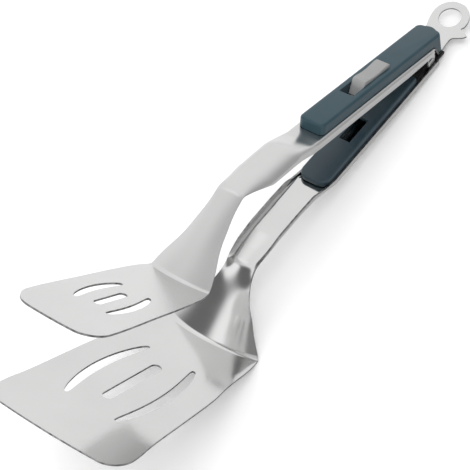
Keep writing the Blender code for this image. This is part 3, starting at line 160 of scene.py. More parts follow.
def addFloor():
    bpy.ops.mesh.primitive_grid_add(x_subdivisions=4, y_subdivisions=4, size=floorLook["size"])
    floor = bpy.context.object
    floor.name = "paleFloor"
    floor.location.z = -floorLook["below"]
    mat, nodes, links, shader = newMaterial("paleFloorPaint")
    clouds = objectPattern(nodes, links, *floorLook["clouds"])
    paint = tint(nodes, links, clouds, floorLook["dark"], floorLook["light"])
    # painted shade: for glossy rays only, the floor darkens towards its near side, so the steel mirrors
    # shade there
    path = nodes.new("ShaderNodeLightPath")
    place = nodes.new("ShaderNodeTexCoord")
    apart = nodes.new("ShaderNodeSeparateXYZ")
    links.new(place.outputs["Object"], apart.inputs["Vector"])
    near, far, mirroredShadeTone = floorLook["near"], floorLook["far"], floorLook["mirroredShadeTone"]
    fade = remap(nodes, links, apart.outputs["Y"], near, far, mirroredShadeTone)
    shade = nodes.new("ShaderNodeMixRGB")
    shade.blend_type = "MULTIPLY"
    links.new(path.outputs["Is Glossy Ray"], shade.inputs["Fac"])
    links.new(paint, shade.inputs["Color1"])
    links.new(fade, shade.inputs["Color2"])
    links.new(shade.outputs["Color"], shader.inputs["Base Color"])
    shader.inputs["Roughness"].default_value = floorLook["rough"]
    shader.inputs["Specular IOR Level"].default_value = 0.0
    # the camera sees the floor a little brighter, so that it runs into the white background
    shader.inputs["Emission Color"].default_value = (1, 1, 1, 1)
    lift = nodes.new("ShaderNodeMath")
    lift.operation = "MULTIPLY"
    lift.inputs[1].default_value = floorLook["lift"]
    links.new(path.outputs["Is Camera Ray"], lift.inputs[0])
    links.new(lift.outputs[0], shader.inputs["Emission Strength"])
    floor.data.materials.append(mat)
    print("floor laid")


studioLook = {
    "worldColor": (1.0, 1.0, 1.0),
    "worldFill": 0.88,
    "lamps": [
        # name, place, aims at, size, power
        ("softTop", (-0.25, -0.15, 1.8), (0.0, 0.0, 0.03), 1.8, 16.0),
        ("softLeft", (-1.5, 0.5, 1.2), (-0.05, 0.0, 0.06), 1.0, 2.5),
        ("softBack", (0.8, 1.1, 1.2), (0.05, 0.0, 0.05), 1.0, 2.5),
    ],
    "cards": [
        # soft-edged grey or bright cards hung round the object, mirrored by the steel:
        # turn and rise in degrees, reach of the full tone, reach of the fade, brightness
        ("overhead", 90.0, 90.0, 4.0, 36.0, 0.66),
        ("nearSide", -50.0, 18.0, 14.0, 66.0, 0.46),
        ("farSide", 125.0, 41.0, 6.0, 24.0, 0.17),
        ("leftSide", -172.0, 60.0, 8.0, 21.0, 0.26),
        ("farBright", 62.0, 62.0, 4.0, 17.0, 1.14),
        ("highBright", 146.0, 55.0, 3.0, 10.0, 1.20),
    ],
}


def hangCard(nodes, links, behind, card):
    # mixes one card over the colour behind it, by the angle from the card's middle
    name, turn, rise, full, fade, bright = card
    turn, rise = math.radians(turn), math.radians(rise)
    middle = (math.cos(rise) * math.cos(turn), math.cos(rise) * math.sin(turn), math.sin(rise))
    sky = nodes.new("ShaderNodeTexCoord")
    facing = nodes.new("ShaderNodeVectorMath")
    facing.operation = "DOT_PRODUCT"
    facing.inputs[1].default_value = middle
    links.new(sky.outputs["Generated"], facing.inputs[0])
    fadeCos, fullCos = math.cos(math.radians(fade)), math.cos(math.radians(full))
    edge = remap(nodes, links, facing.outputs["Value"], fadeCos, fullCos)
    cover = nodes.new("ShaderNodeMixRGB")
    cover.label = name
    cover.inputs["Color2"].default_value = (bright, bright, bright, 1)
    links.new(edge, cover.inputs["Fac"])
    links.new(behind, cover.inputs["Color1"])
    return cover.outputs["Color"]


def addStudio():
    world = bpy.data.worlds.new("paleStudio")
    bpy.context.scene.world = world
    world.use_nodes = True
    nodes, links = world.node_tree.nodes, world.node_tree.links
    nodes.clear()
    out = nodes.new("ShaderNodeOutputWorld")
    white = nodes.new("ShaderNodeRGB")
    white.outputs[0].default_value = (*studioLook["worldColor"], 1)
    seen, mirrored, fill = (nodes.new("ShaderNodeBackground") for _ in range(3))
    path = nodes.new("ShaderNodeLightPath")
    glossyOrFill, seenOrRest = (nodes.new("ShaderNodeMixShader") for _ in range(2))
    seenOrClear = nodes.new("ShaderNodeMath")
    seenOrClear.operation = "MAXIMUM"
    fill.inputs["Strength"].default_value = studioLook["worldFill"]
    tone = white.outputs[0]
    links.new(tone, seen.inputs["Color"])
    for card in studioLook["cards"]:
        tone = hangCard(nodes, links, tone, card)
    links.new(tone, mirrored.inputs["Color"])
    links.new(tone, fill.inputs["Color"])
    links.new(path.outputs["Is Camera Ray"], seenOrClear.inputs[0])
    links.new(path.outputs["Is Transmission Ray"], seenOrClear.inputs[1])
    links.new(path.outputs["Is Glossy Ray"], glossyOrFill.inputs["Fac"])
    links.new(fill.outputs[0], glossyOrFill.inputs[1])
    links.new(mirrored.outputs[0], glossyOrFill.inputs[2])
    links.new(seenOrClear.outputs[0], seenOrRest.inputs["Fac"])
    links.new(glossyOrFill.outputs[0], seenOrRest.inputs[1])
    links.new(seen.outputs[0], seenOrRest.inputs[2])
    links.new(seenOrRest.outputs[0], out.inputs["Surface"])
    for name, place, aim, size, power in studioLook["lamps"]:
        bpy.ops.object.light_add(type="AREA", location=place)
        lamp = bpy.context.object
        lamp.name = name
        lamp.data.shape = "DISK"
        lamp.data.size = size
        lamp.data.energy = power
        lamp.visible_glossy = False
        direction = Vector(aim) - Vector(place)
        lamp.rotation_euler = direction.to_track_quat("-Z", "Y").to_euler()
    print("studio lit:", len(studioLook["lamps"]), "lamps,", len(studioLook["cards"]), "cards")


# finishes of the steel and the plastics

# clouds and grain: scale and detail of the noise, and its stretch; the bump's strength and depth
steel = {"metal": 1.0, "clouds": (28.0, 3.0), "grain": (900.0, 2.0, (0.12, 1, 1)), "bump": (0.04, 0.00002)}
plastic = {"metal": 0.0, "clouds": (60.0, 4.0), "grain": (2600.0, 2.0), "bump": (0.10, 0.00004)}
pieceFinishes = {
    "mirrorSteel": {
        **steel, "dark": (0.665, 0.665, 0.662), "light": (0.70, 0.70, 0.696), "rough": (0.10, 0.15),
    },
    "satinSteel": {
        **steel, "dark": (0.655, 0.655, 0.652), "light": (0.69, 0.69, 0.686), "rough": (0.21, 0.27),
    },
    # the sheared edge of the sheet, duller than its faces, its colour also darkened with painted shade so
    # the edges read as dark lines
    "cutEdgeSteel": {
        "metal": 1.0, "dark": (0.10, 0.10, 0.10), "light": (0.42, 0.42, 0.42), "rough": 0.38,
        "clouds": (350.0, 3.0), "bump": (0.2, 0.00005),
    },
    "platedSteel": {
        "metal": 1.0, "dark": (0.50, 0.50, 0.50), "light": (0.62, 0.62, 0.61), "rough": 0.24,
        "clouds": (400.0, 3.0), "bump": (0.08, 0.00003),
    },
    "tealPlastic": {
        **plastic, "dark": (0.015, 0.047, 0.064), "light": (0.021, 0.056, 0.075), "rough": (0.28, 0.36),
    },
    "insertPlastic": {
        **plastic, "dark": (0.024, 0.047, 0.062), "light": (0.030, 0.056, 0.073), "rough": (0.30, 0.38),
    },
    "greyPlastic": {
        **plastic, "dark": (0.31, 0.31, 0.31), "light": (0.345, 0.345, 0.345), "rough": (0.40, 0.50),
    },
    "blackPlastic": {
        **plastic, "dark": (0.010, 0.011, 0.012), "light": (0.018, 0.019, 0.021), "rough": (0.40, 0.52),
    },
}


def pieceMaterial(name):
    # the clouds tint the piece, and vary its roughness where that is a range; the grain is its bump
    look = pieceFinishes[name]
    mat, nodes, links, shader = newMaterial(name)
    clouds = objectPattern(nodes, links, *look["clouds"])
    grain = objectPattern(nodes, links, *look["grain"]) if "grain" in look else clouds
    shader.inputs["Metallic"].default_value = look["metal"]
    links.new(tint(nodes, links, clouds, look["dark"], look["light"]), shader.inputs["Base Color"])
    if isinstance(look["rough"], tuple):
        rough = remap(nodes, links, clouds, *patternRange, *look["rough"], "LINEAR")
        links.new(rough, shader.inputs["Roughness"])
    else:
        shader.inputs["Roughness"].default_value = look["rough"]
    bump(nodes, links, shader, grain, *look["bump"])
    return mat


def dressNodes(mats):
    finishes = {
        "upper_grip": "tealPlastic", "lower_grip": "insertPlastic", "lock_button": "greyPlastic",
        "hinge_block": "blackPlastic", "upper_arm": "satinSteel", "lower_arm": "mirrorSteel",
    }
    for name, node in frame["nodes"].items():
        mat = mats[finishes.get(name, "platedSteel")]
        for slot in node.material_slots:
            slot.material = mat
        if not node.material_slots:
            node.data.materials.append(mat)
    print("CAD nodes dressed")


# modelling helpers

# lengths below this are taken as nothing, and points closer than the merge reach as one
tiny = 1e-6
mergeReach = 2e-6


def selectOnly(piece):
    bpy.ops.object.select_all(action="DESELECT")
    piece.select_set(True)
    bpy.context.view_layer.objects.active = piece


def signedVolume(piece):
    mesh = piece.data
    mesh.calc_loop_triangles()
    points = np.array([tuple(v.co) for v in mesh.vertices])
    faces = np.array([tuple(t.vertices) for t in mesh.loop_triangles])
    return float(np.linalg.det(points[faces]).sum())


def faceOutwards(piece):
    bpy.context.view_layer.objects.active = piece
    bpy.ops.object.mode_set(mode="EDIT")
    bpy.ops.mesh.select_all(action="SELECT")
    bpy.ops.mesh.normals_make_consistent(inside=False)
    bpy.ops.object.mode_set(mode="OBJECT")
    if signedVolume(piece) < 0:
        piece.data.flip_normals()


def arcPoints(x, y, radius, start, end, steps):
    turns = [start + (end - start) * k / steps for k in range(steps + 1)]
    return [(x + radius * math.cos(a), y + radius * math.sin(a)) for a in turns]


def roundHole(radius, count, x=0.0):
    return arcPoints(x, 0, radius, 0, 2 * math.pi * (count - 1) / count, count - 1)


def raiseOutline(name, outline, low, high):
    # a filled outline laid down flat and extruded upwards
    bpy.ops.object.select_all(action="DESELECT")
    bpy.ops.mesh.primitive_circle_add(vertices=len(outline), radius=1, fill_type="NGON")
    piece = bpy.context.object
    piece.name = name
    for vert, (x, y) in zip(piece.data.vertices, outline):
        vert.co = (x, y, low)
    bpy.ops.object.mode_set(mode="EDIT")
    bpy.ops.mesh.select_all(action="SELECT")
    bpy.ops.mesh.extrude_region_move(TRANSFORM_OT_translate={"value": (0, 0, high - low)})
    bpy.ops.object.mode_set(mode="OBJECT")
    faceOutwards(piece)
    return piece


# turns for outlines that are drawn flat: in X and Z, or in Y and Z
sideways = Matrix(((1, 0, 0, 0), (0, 0, 1, 0), (0, 1, 0, 0), (0, 0, 0, 1)))
lengthways = Matrix(((0, 0, 1, 0), (1, 0, 0, 0), (0, 1, 0, 0), (0, 0, 0, 1)))


def raiseSideways(name, outline, halfWidth, middle=0.0):
    # the outline is drawn in X and Z, and is as thick as the piece is wide
    piece = raiseOutline(name, outline, middle - halfWidth, middle + halfWidth)
    piece.data.transform(sideways)
    faceOutwards(piece)
    return piece


def raiseLengthways(name, outline, front, rear, slope=0.0, pivot=0.0):
    # the outline is drawn in Y and Z, and can rise to the front by a slope, from the pivot on
    lean = Matrix(((1, 0, 0, 0), (0, 1, 0, 0), (-slope, 0, 1, slope * pivot), (0, 0, 0, 1)))
    piece = raiseOutline(name, outline, front, rear)
    piece.data.transform(lengthways)
    piece.data.transform(lean)
    faceOutwards(piece)
    return piece


def block(name, low, high):
    outline = [(low[0], low[1]), (high[0], low[1]), (high[0], high[1]), (low[0], high[1])]
    return raiseOutline(name, outline, low[2], high[2])


def joinShape(piece, other, operation, finish=0):
    # finish picks which of the piece's materials the new faces take
    for slot in piece.material_slots:
        other.data.materials.append(slot.material)
    for face in other.data.polygons:
        face.material_index = finish
    change = piece.modifiers.new("shape", "BOOLEAN")
    change.operation = operation
    change.solver = "EXACT"
    change.object = other
    bpy.context.view_layer.objects.active = piece
    bpy.ops.object.modifier_apply(modifier=change.name)
    bpy.data.objects.remove(other)


def carve(piece, cutter):
    joinShape(piece, cutter, "DIFFERENCE")


def drillPilot(piece, x, low, high):
    hole = roundHole(shared["pilotHole"], shared["holePoints"], x)
    carve(piece, raiseOutline("pilotHole", hole, low, high))


def drillPinBore(piece, halfWidth):
    bore = roundHole(shared["pinBore"], shared["borePoints"])
    carve(piece, raiseSideways("pinBore", bore, halfWidth))


def cutOut(piece, outline, place, depth=0.002):
    # an outline raised on both sides of the sheet and cut out of it, leaving a sheared edge
    cutter = raiseOutline("sheetCutter", outline, -depth, depth)
    cutter.data.transform(place)
    joinShape(piece, cutter, "DIFFERENCE", 1)


def selectEdges(piece, pick):
    # goes into edit mode with just those edges selected whose two vertex numbers the test picks
    selectOnly(piece)
    bpy.ops.object.mode_set(mode="EDIT")
    bpy.ops.mesh.select_mode(type="EDGE")
    bpy.ops.mesh.select_all(action="DESELECT")
    bpy.ops.object.mode_set(mode="OBJECT")
    for edge in piece.data.edges:
        edge.select = bool(pick(*edge.vertices))
    bpy.ops.object.mode_set(mode="EDIT")


def roundEdges(piece, pick, width, segments):
    # bevels the edges whose two ends the test picks
    points = [vert.co.copy() for vert in piece.data.vertices]
    selectEdges(piece, lambda a, b: pick(points[a], points[b]))
    bpy.ops.mesh.bevel(offset=width, segments=segments, profile=0.5, clamp_overlap=True)
    bpy.ops.object.mode_set(mode="OBJECT")


def mergeClose():
    bpy.ops.mesh.select_all(action="SELECT")
    bpy.ops.mesh.remove_doubles(threshold=mergeReach)
    bpy.ops.object.mode_set(mode="OBJECT")


def finishPiece(piece, place, body, node, mat=None, angle=35):
    # to its place in the frame; a piece without a body is left unattached
    piece.data.transform(place)
    if mat:
        piece.data.materials.clear()
        piece.data.materials.append(mat)
    selectOnly(piece)
    bpy.ops.object.shade_smooth_by_angle(angle=math.radians(angle))
    if body:
        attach(piece, body)
    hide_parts(node)
    print(piece.name, len(piece.data.polygons), "faces")


# the stamped arms

# what both arms share; a corner of an arm's path is given as x, z, how far the section reaches
# towards its edge in x and z, its arch, its bend radius, and the rows of the run that starts there
sheetLook = {
    "thickness": 0.0012, "shoulder": 0.0020, "webColumns": 12, "shoulderColumns": 8, "flangeColumns": 4,
    "bendRows": 12, "gentleRows": 5, "tightBend": 0.008, "bladeRows": 24, "cornerRows": 24,
    "foldBend": 0.004, "slotRows": 40, "slotFullness": 0.6, "screwHoleDepth": 0.0018,
}


def flowing(table, at):
    # smooth curve through (place, value) pairs that never swings past them
    table = np.array(sorted(table), float)
    places, values = table[:, 0], table[:, 1]
    step = np.diff(places)
    slope = np.diff(values) / step
    tangent = np.zeros(len(places))
    tangent[0], tangent[-1] = slope[0], slope[-1]
    before, after = slope[:-1], slope[1:]
    same = before * after > 0
    tangent[1:-1][same] = 2 * before[same] * after[same] / (before + after)[same]
    at = min(max(at, places[0]), places[-1])
    k = min(max(int(np.searchsorted(places, at)) - 1, 0), len(step) - 1)
    t = (at - places[k]) / step[k]
    start = (1 + 2 * t) * (1 - t) ** 2 * values[k] + t * (1 - t) ** 2 * step[k] * tangent[k]
    end = t * t * (3 - 2 * t) * values[k + 1] + t * t * (t - 1) * step[k] * tangent[k + 1]
    return start + end


def blended(square, even, arch):
    # between the square channel (0), the round trough (1) and the shallow bow (2)
    trough = (math.sin(even * math.pi / 2), 1 - math.cos(even * math.pi / 2))
    first, second = (square, trough) if arch <= 1 else (trough, (even, even * even))
    share = arch if arch <= 1 else arch - 1
    return [a + (b - a) * share for a, b in zip(first, second)]


def halfSection(halfWidth, depth):
    shoulder = sheetLook["shoulder"]
    flat = halfWidth - shoulder
    web, round_, flange = sheetLook["webColumns"], sheetLook["shoulderColumns"], sheetLook["flangeColumns"]
    across = [flat * k / web / halfWidth for k in range(web + 1)]
    down = [0.0] * (web + 1)
    for k in range(1, round_ + 1):
        turn = math.pi / 2 * k / round_
        across.append((flat + shoulder * math.sin(turn)) / halfWidth)
        down.append(shoulder * (1 - math.cos(turn)) / depth)
    for k in range(1, flange + 1):
        across.append(1.0)
        down.append(shoulder / depth + (1 - shoulder / depth) * k / flange)
    return across, down


def columnLine(corners, spans):
    # where one column of the sheet runs: straight runs joined by round bends
    points = [Vector((c[0], c[1])) for c in corners]
    directions = [(b - a).normalized() for a, b in zip(points, points[1:])]
    trims = [0.0] * len(points)
    for k in range(1, len(points) - 1):
        trims[k] = corners[k][2] * math.tan(directions[k - 1].angle(directions[k]) / 2)
    found = []
    for k, share, isBend in spans:
        if not isBend:
            start = points[k] + directions[k] * trims[k]
            end = points[k + 1] - directions[k] * trims[k + 1]
            found.append(start.lerp(end, share))
            continue
        before, after = directions[k - 1], directions[k]
        start = points[k] - before * trims[k]
        turn = before.angle_signed(after)
        side = Vector((before.y, -before.x)) if turn > 0 else Vector((-before.y, before.x))
        centre = start + side * corners[k][2]
        arm = start - centre
        arm.rotate(Matrix.Rotation(-turn * share, 2))
        found.append(centre + arm)
    return found, trims


def layArm(name, arm, corners, halfWidths, turn, mats):
    # lays a grid along the corners; halfWidths gives the far and near half of the width at each place
    across, down = halfSection(shared["webHalf"], arm["depth"])
    count = len(across) - 1
    spans = []
    for k, corner in enumerate(corners[:-1]):
        if k and corner[5]:
            tight = corner[5] < sheetLook["tightBend"]
            bendRows = sheetLook["bendRows"] if tight else sheetLook["gentleRows"]
            spans += [(k, (j + 0.5) / bendRows, True) for j in range(bendRows)]
        joined = 0 < k + 1 < len(corners) - 1 and not corners[k + 1][5]
        rows = corner[6]
        shares = rows if isinstance(rows, list) else [j / rows for j in range(rows + 1)]
        spans += [(k, share, False) for share in shares if not (joined and share == 1)]
    middle = [(c[0], c[1], c[5]) for c in corners]
    _, trims = columnLine(middle, spans)
    lengths = [math.dist(a[:2], b[:2]) for a, b in zip(middle, middle[1:])]
    places = []
    for k, share, isBend in spans:
        if not isBend:
            start, end = trims[k] / lengths[k], 1 - trims[k + 1] / lengths[k]
            places.append((k, start + (end - start) * share))
        elif share < 0.5:
            places.append((k - 1, 1 - trims[k] / lengths[k - 1] * (1 - 2 * share)))
        else:
            places.append((k, trims[k] / lengths[k] * (2 * share - 1)))
    widths = [halfWidths(*place) for place in places]
    arches = [corners[k][4] + (corners[k + 1][4] - corners[k][4]) * share for k, share in places]
    bladeRun, tipEdge = len(corners) - 2, Vector((corners[-1][2], corners[-1][3]))
    widest = max(max(width) for place, width in zip(places, widths) if place[0] == bladeRun)

    # a flat grid of the right count is laid down, then each vertex goes to its place on the sheet
    bpy.ops.object.select_all(action="DESELECT")
    bpy.ops.mesh.primitive_grid_add(x_subdivisions=len(spans) - 1, y_subdivisions=2 * count, size=2)
    sheet = bpy.context.object
    sheet.name = name
    grid = {}
    for vert in sheet.data.vertices:
        row = round((vert.co.x + 1) / 2 * (len(spans) - 1))
        column = round((vert.co.y + 1) / 2 * 2 * count) - count
        grid[row, column] = vert
    for j in range(-count, count + 1):
        even, side = abs(j) / count, 0 if j > 0 else 1
        square = across[abs(j)], down[abs(j)]
        column = []
        for x, z, edgeX, edgeZ, arch, bend, _ in corners:
            drop = blended(square, even, arch)[1]
            column.append((x + edgeX * drop, z + edgeZ * drop, bend))
        line, _ = columnLine(column, spans)
        for row, (point, width, arch, place) in enumerate(zip(line, widths, arches, places)):
            share = blended(square, even, arch)[0]
            if place[0] == bladeRun:
                # the tip's bow follows the blade's own width, which shrinks in the round corners
                point = point - tipEdge * even * even * place[1] * (1 - (width[side] / widest) ** 2)
            grid[row, j].co = turn @ Vector((point.x, math.copysign(share * width[side], j), point.y))
    # the second material, on the rim and cut edges, is steel partly darkened with painted shade
    for finish in (arm["finish"], "cutEdgeSteel"):
        sheet.data.materials.append(mats[finish])
    thicken(sheet)
    return sheet


def thicken(sheet):
    wall = sheet.modifiers.new("sheet", "SOLIDIFY")
    wall.thickness = sheetLook["thickness"]
    wall.offset = 0
    wall.material_offset_rim = 1
    bpy.context.view_layer.objects.active = sheet
    bpy.ops.object.modifier_apply(modifier=wall.name)
    faceOutwards(sheet)


def straightSlot(slot, steps=16):
    radius, quarter = slot["width"] / 2, math.pi / 2
    rear = arcPoints(slot["start"] + radius, 0, radius, quarter, 3 * quarter, steps)
    front = arcPoints(slot["start"] + slot["length"] - radius, 0, radius, -quarter, quarter, steps)
    return rear + front


def curvedSlot(slot, side):
    steps = sheetLook["slotRows"]
    middle, half = slot["start"] + slot["length"] / 2, slot["length"] / 2

    def point(turn, edge):
        place = -math.cos(turn)
        swell = slot["width"] / 2 * math.sin(turn) ** sheetLook["slotFullness"]
        y = slot["offset"] - slot["sag"] * place * place + slot["skew"] * place + edge * swell
        return middle + half * place, y * side

    turns = [math.pi * k / steps for k in range(steps + 1)]
    return [point(turn, 1) for turn in turns] + [point(turn, -1) for turn in reversed(turns[1:-1])]


def cutSlots(piece, turn, look):
    # the slots are drawn flat, with X towards the tip, and laid on the blade
    pitch, (foldX, foldZ) = look["bladePitch"], look["fold"]
    tip = Vector((-math.cos(pitch), 0, math.sin(pitch)))
    up = Vector((math.sin(pitch), 0, math.cos(pitch)))
    lie = Matrix((tip, up.cross(tip), up)).transposed().to_4x4()
    place = turn @ Matrix.Translation((foldX, 0, foldZ)) @ lie
    cutOut(piece, straightSlot(look["straight"]), place)
    for side in (1, -1):
        cutOut(piece, curvedSlot(look["curved"], side), place)


def bladeCorners(look):
    # the fold and the tip, whose edges are bowed along the blade
    foldX, foldZ = look["fold"]
    length, foldBow, tipBow = look["bladeLength"], look["foldBow"], look["tipBow"]
    slope, rise = math.cos(look["bladePitch"]), math.sin(look["bladePitch"])
    bladeRows, cornerRows = sheetLook["bladeRows"], sheetLook["cornerRows"]
    straight = 1 - look["bladeCorner"] / length
    rows = [straight * k / bladeRows for k in range(bladeRows)]
    quarter = math.pi / 2 / cornerRows
    rows += [straight + (1 - straight) * math.sin(quarter * k) for k in range(cornerRows + 1)]
    return [
        (foldX, foldZ, foldBow * slope, -foldBow * rise, 2, sheetLook["foldBend"], rows),
        (foldX - length * slope, foldZ + length * rise, tipBow * slope, -tipBow * rise, 2, 0, 0),
    ]


easing = [(0.0, 0.0), (0.5, 0.55), (1.0, 1.0)]


def between(first, second, shares, share):
    return (first + (second - first) * flowing(shares, share)) / 2


def makeArm(name, look, tail, halfWidths, turn, web, screws, mats):
    # one arm's sheet from its tail to its blade, with the slots and the holes of its screws
    corners = tail + look["corners"] + bladeCorners(look)
    arm = layArm(name, look, corners, halfWidths, turn, mats)
    cutSlots(arm, turn, look)
    for x in screws:
        place = turn @ Matrix.Translation((x, 0, web))
        hole = roundHole(shared["screwHole"], shared["holePoints"])
        cutOut(arm, hole, place, sheetLook["screwHoleDepth"])
    return arm


def armHalf(look, widths, run, share):
    # both halves of an arm's width: eased between two widths on a run, round at the blade's corners
    if run < len(widths):
        return (between(*widths[run], share),) * 2
    length, corner = look["bladeLength"], look["bladeCorner"]
    full = between(look["foldWidth"], look["bladeWidth"], look["bladeShares"], share)
    into = max(0.0, share * length - (length - corner)) / corner
    return (full - corner * (1 - math.sqrt(max(0.0, 1 - into * into))),) * 2


lowerArmLook = {
    "finish": "mirrorSteel", "depth": 0.0049, "neckWidth": 0.0214, "elbowWidth": 0.0200,
    "foldWidth": 0.0680, "bladeWidth": 0.0948, "bladeLength": 0.1385, "bladePitch": math.radians(28.3),
    "bladeCorner": 0.0130, "foldBow": 0.0064, "tipBow": 0.0020,
    "riserShares": [
        (0.0, 0.0), (0.08, 0.0), (0.2, 0.03), (0.31, 0.095), (0.43, 0.19), (0.53, 0.32),
        (0.60, 0.43), (0.69, 0.54), (0.82, 0.72), (0.93, 0.89), (1.0, 1.0),
    ],
    "bladeShares": [
        (0.0, 0.0), (0.08, 0.18), (0.25, 0.36), (0.37, 0.57), (0.54, 0.70), (0.77, 0.85), (0.90, 1.0),
        (1.0, 1.0),
    ],
    "corners": [
        (0.0058, -0.0063, 0, 0.0049, 0, 0, 24),
        (-0.1085, -0.0063, 0, 0.0049, 0, 0.010, 6),
        (-0.1185, -0.0018, 0, 0.0023, 0, 0.010, 6),
        (-0.1290, -0.0006, 0, 0.0049, 0.3, 0.010, 6),
        (-0.1430, -0.0002, 0, 0.0050, 0.5, 0.030, 8),
        (-0.1640, -0.0004, 0, 0.0050, 0.5, 0.030, 6),
        (-0.1760, -0.0016, 0, 0.0043, 0.7, 0.010, 4),
        (-0.1875, -0.0024, 0, 0.0024, 1.5, 0.010, 30),
    ],
    "fold": (-0.2302, -0.0283),
    "straight": {"start": 0.0435, "length": 0.0480, "width": 0.0070},
    "curved": {
        "start": 0.0325, "length": 0.0710, "width": 0.0068, "offset": 0.0231, "sag": 0.0058, "skew": 0.0007,
    },
}


def buildLowerArm(mats):
    look = lowerArmLook
    full, neck, elbow = 2 * shared["webHalf"], look["neckWidth"], look["elbowWidth"]
    widths = [(full, full, easing)] * 2 + [(full, neck, easing)] + [(neck, neck, easing)] * 3
    widths += [(neck, elbow, easing), (elbow, look["foldWidth"], look["riserShares"])]

    def halfWidths(run, share):
        return armHalf(look, widths, run, share)

    screws = (*shared["lowerScrews"], shared["blockScrew"])
    arm = makeArm("lowerArmSheet", look, [], halfWidths, lowerFrame, shared["lowerWeb"], screws, mats)
    finishPiece(arm, Matrix(), "lower_arm_body", "lower_arm")


upperArmLook = {
    "finish": "satinSteel", "depth": 0.0040, "neckWidth": 0.0246, "elbowWidth": 0.0170,
    "foldWidth": 0.0410, "bladeWidth": 0.0568, "bladeLength": 0.1090, "bladePitch": math.radians(23.7),
    "bladeCorner": 0.0130, "foldBow": 0.0035, "tipBow": 0.0020,
    "riserShares": [
        (0.0, 0.0), (0.1, 0.01), (0.2, 0.05), (0.38, 0.19), (0.51, 0.30), (0.62, 0.44),
        (0.73, 0.63), (0.84, 0.81), (0.93, 0.93), (1.0, 1.0),
    ],
    "bladeShares": [
        (0.0, 0.0), (0.11, 0.38), (0.26, 0.57), (0.33, 0.64), (0.52, 0.77), (0.66, 0.90), (0.83, 1.0),
        (1.0, 1.0),
    ],
    "corners": [
        (-0.0010, 0.0096, 0, -0.0026, 0, 0, 8),
        (-0.0300, 0.0096, 0, -0.0040, 0, 0, 20),
        (-0.1260, 0.0096, 0, -0.0040, 0, 0.030, 8),
        (-0.1455, 0.0152, 0, -0.0055, 0.9, 0.030, 8),
        (-0.1690, 0.0136, 0, -0.0048, 1.0, 0.030, 8),
        (-0.1925, 0.0125, 0, -0.0008, 1.5, 0.007, 30),
    ],
    "fold": (-0.2418, -0.0207),
    "straight": {"start": 0.0460, "length": 0.0260, "width": 0.0050},
    "curved": {
        "start": 0.0370, "length": 0.0390, "width": 0.0054, "offset": 0.0133, "sag": 0.0030, "skew": 0.0007,
    },
    "plateWidth": 0.0172, "footWidth": 0.0198, "dipWidth": 0.0218, "plateRows": 8, "dipRows": 6,
    "loopRadius": 0.0126, "loopHole": 0.0074, "loopPoints": 96, "loopReach": 0.0274,
    "loopTip": math.radians(10), "loopRows": 40, "shankRows": 84, "shankReach": 2.1,
    "hookReach": 0.0173,
    "farShares": [(2.2, 0.68), (1.6, 0.72), (0.95, 0.84), (0.5, 0.95), (0.25, 0.985), (0.0, 1.0)],
    "nearShares": [(2.2, 0.68), (1.6, 0.68), (1.27, 0.69), (1.06, 0.78)],
    "afterHook": [(0.44, 1.0), (0.40, 0.885), (0.2, 0.98), (0.0, 1.0)],
    "hookShares": [(0.92, 0.76), (0.79, 0.925), (0.70, 0.985), (0.65, 1.0), (0.60, 0.975), (0.53, 0.87)],
    "stemSlot": (-0.0713, -0.0537), "stemHalf": 0.0025, "earRadius": 0.0039, "earTop": 0.0010,
    "earPlace": 0.0087,
}


def buildUpperArm(mats):
    look = upperArmLook
    top, foot, plate = dipPoints()
    radius, tipShare = look["loopRadius"], math.cos(look["loopTip"])
    plateLength = look["loopReach"] + radius * tipShare
    end = foot + plate * plateLength

    # rows lie close round the loop and along its hook, as shares of the plate
    quarter = (math.pi / 2 - look["loopTip"]) / look["loopRows"]
    stations = [-math.cos(look["loopTip"] + quarter * k) for k in range(look["loopRows"] + 1)]
    stations += [look["shankReach"] * k / look["shankRows"] for k in range(1, look["shankRows"] + 1)]
    plateRows = [(station + tipShare) * radius / plateLength for station in stations]
    tail = [
        (end.x, end.y, 0, 0, 2, 0, [row for row in plateRows if row < 1]),
        (foot.x, foot.y, 0, 0, 2, shared["dipBend"], look["plateRows"]),
        (top.x, top.y, 0, 0, 2, shared["dipBend"], look["dipRows"]),
    ]
    near = [(place, radius * share) for place, share in look["nearShares"] + look["afterHook"]]
    near += [(place, look["hookReach"] * share) for place, share in look["hookShares"]]
    full, neck, elbow = 2 * shared["webHalf"], look["neckWidth"], look["elbowWidth"]
    plateWidth, footWidth, dipWidth = look["plateWidth"], look["footWidth"], look["dipWidth"]
    widths = [None, (plateWidth, footWidth, easing), (footWidth, dipWidth, easing)]
    widths += [(full, full, easing)] * 2 + [(full, neck, easing), (neck, neck, easing)]
    widths += [(neck, elbow, easing), (elbow, look["foldWidth"], look["riserShares"])]

    def halfWidths(run, share):
        if run:
            return armHalf(look, widths, run, share)
        before = share * plateLength / radius - tipShare
        if before < 0:
            return (radius * math.sqrt(max(0.0, 1 - before * before)),) * 2
        return radius * flowing(look["farShares"], before), flowing(near, before)

    web, screws = shared["upperWeb"], shared["upperScrews"]
    arm = makeArm("upperArmSheet", look, tail, halfWidths, upperFrame, web, screws, mats)
    hole = foot + plate * look["loopReach"]
    lean = Matrix.Translation((hole.x, 0, hole.y)) @ Matrix.Rotation(-shared["loopPitch"], 4, "Y")
    cutOut(arm, roundHole(look["loopHole"], look["loopPoints"]), upperFrame @ lean)
    (front, rear), half = look["stemSlot"], look["stemHalf"]
    stemSlot = [(front, -half), (rear, -half), (rear, half), (front, half)]
    cutOut(arm, stemSlot, upperFrame @ Matrix.Translation((0, 0, web)))

    # two ears hang from the web and carry the pin
    ear = look["earRadius"]
    outline = [(-ear, web)] + arcPoints(0, 0, ear, math.pi, 2 * math.pi, shared["borePoints"] // 2)
    outline += [(ear, ear), (look["earTop"], web)]
    for side in (-1, 1):
        made = raiseSideways("pinEar", outline, sheetLook["thickness"] / 2, side * look["earPlace"])
        drillPinBore(made, shared["webHalf"])
        made.data.transform(upperFrame)
        joinShape(arm, made, "UNION")
    finishPiece(arm, Matrix(), "upper_arm_body", "upper_arm")


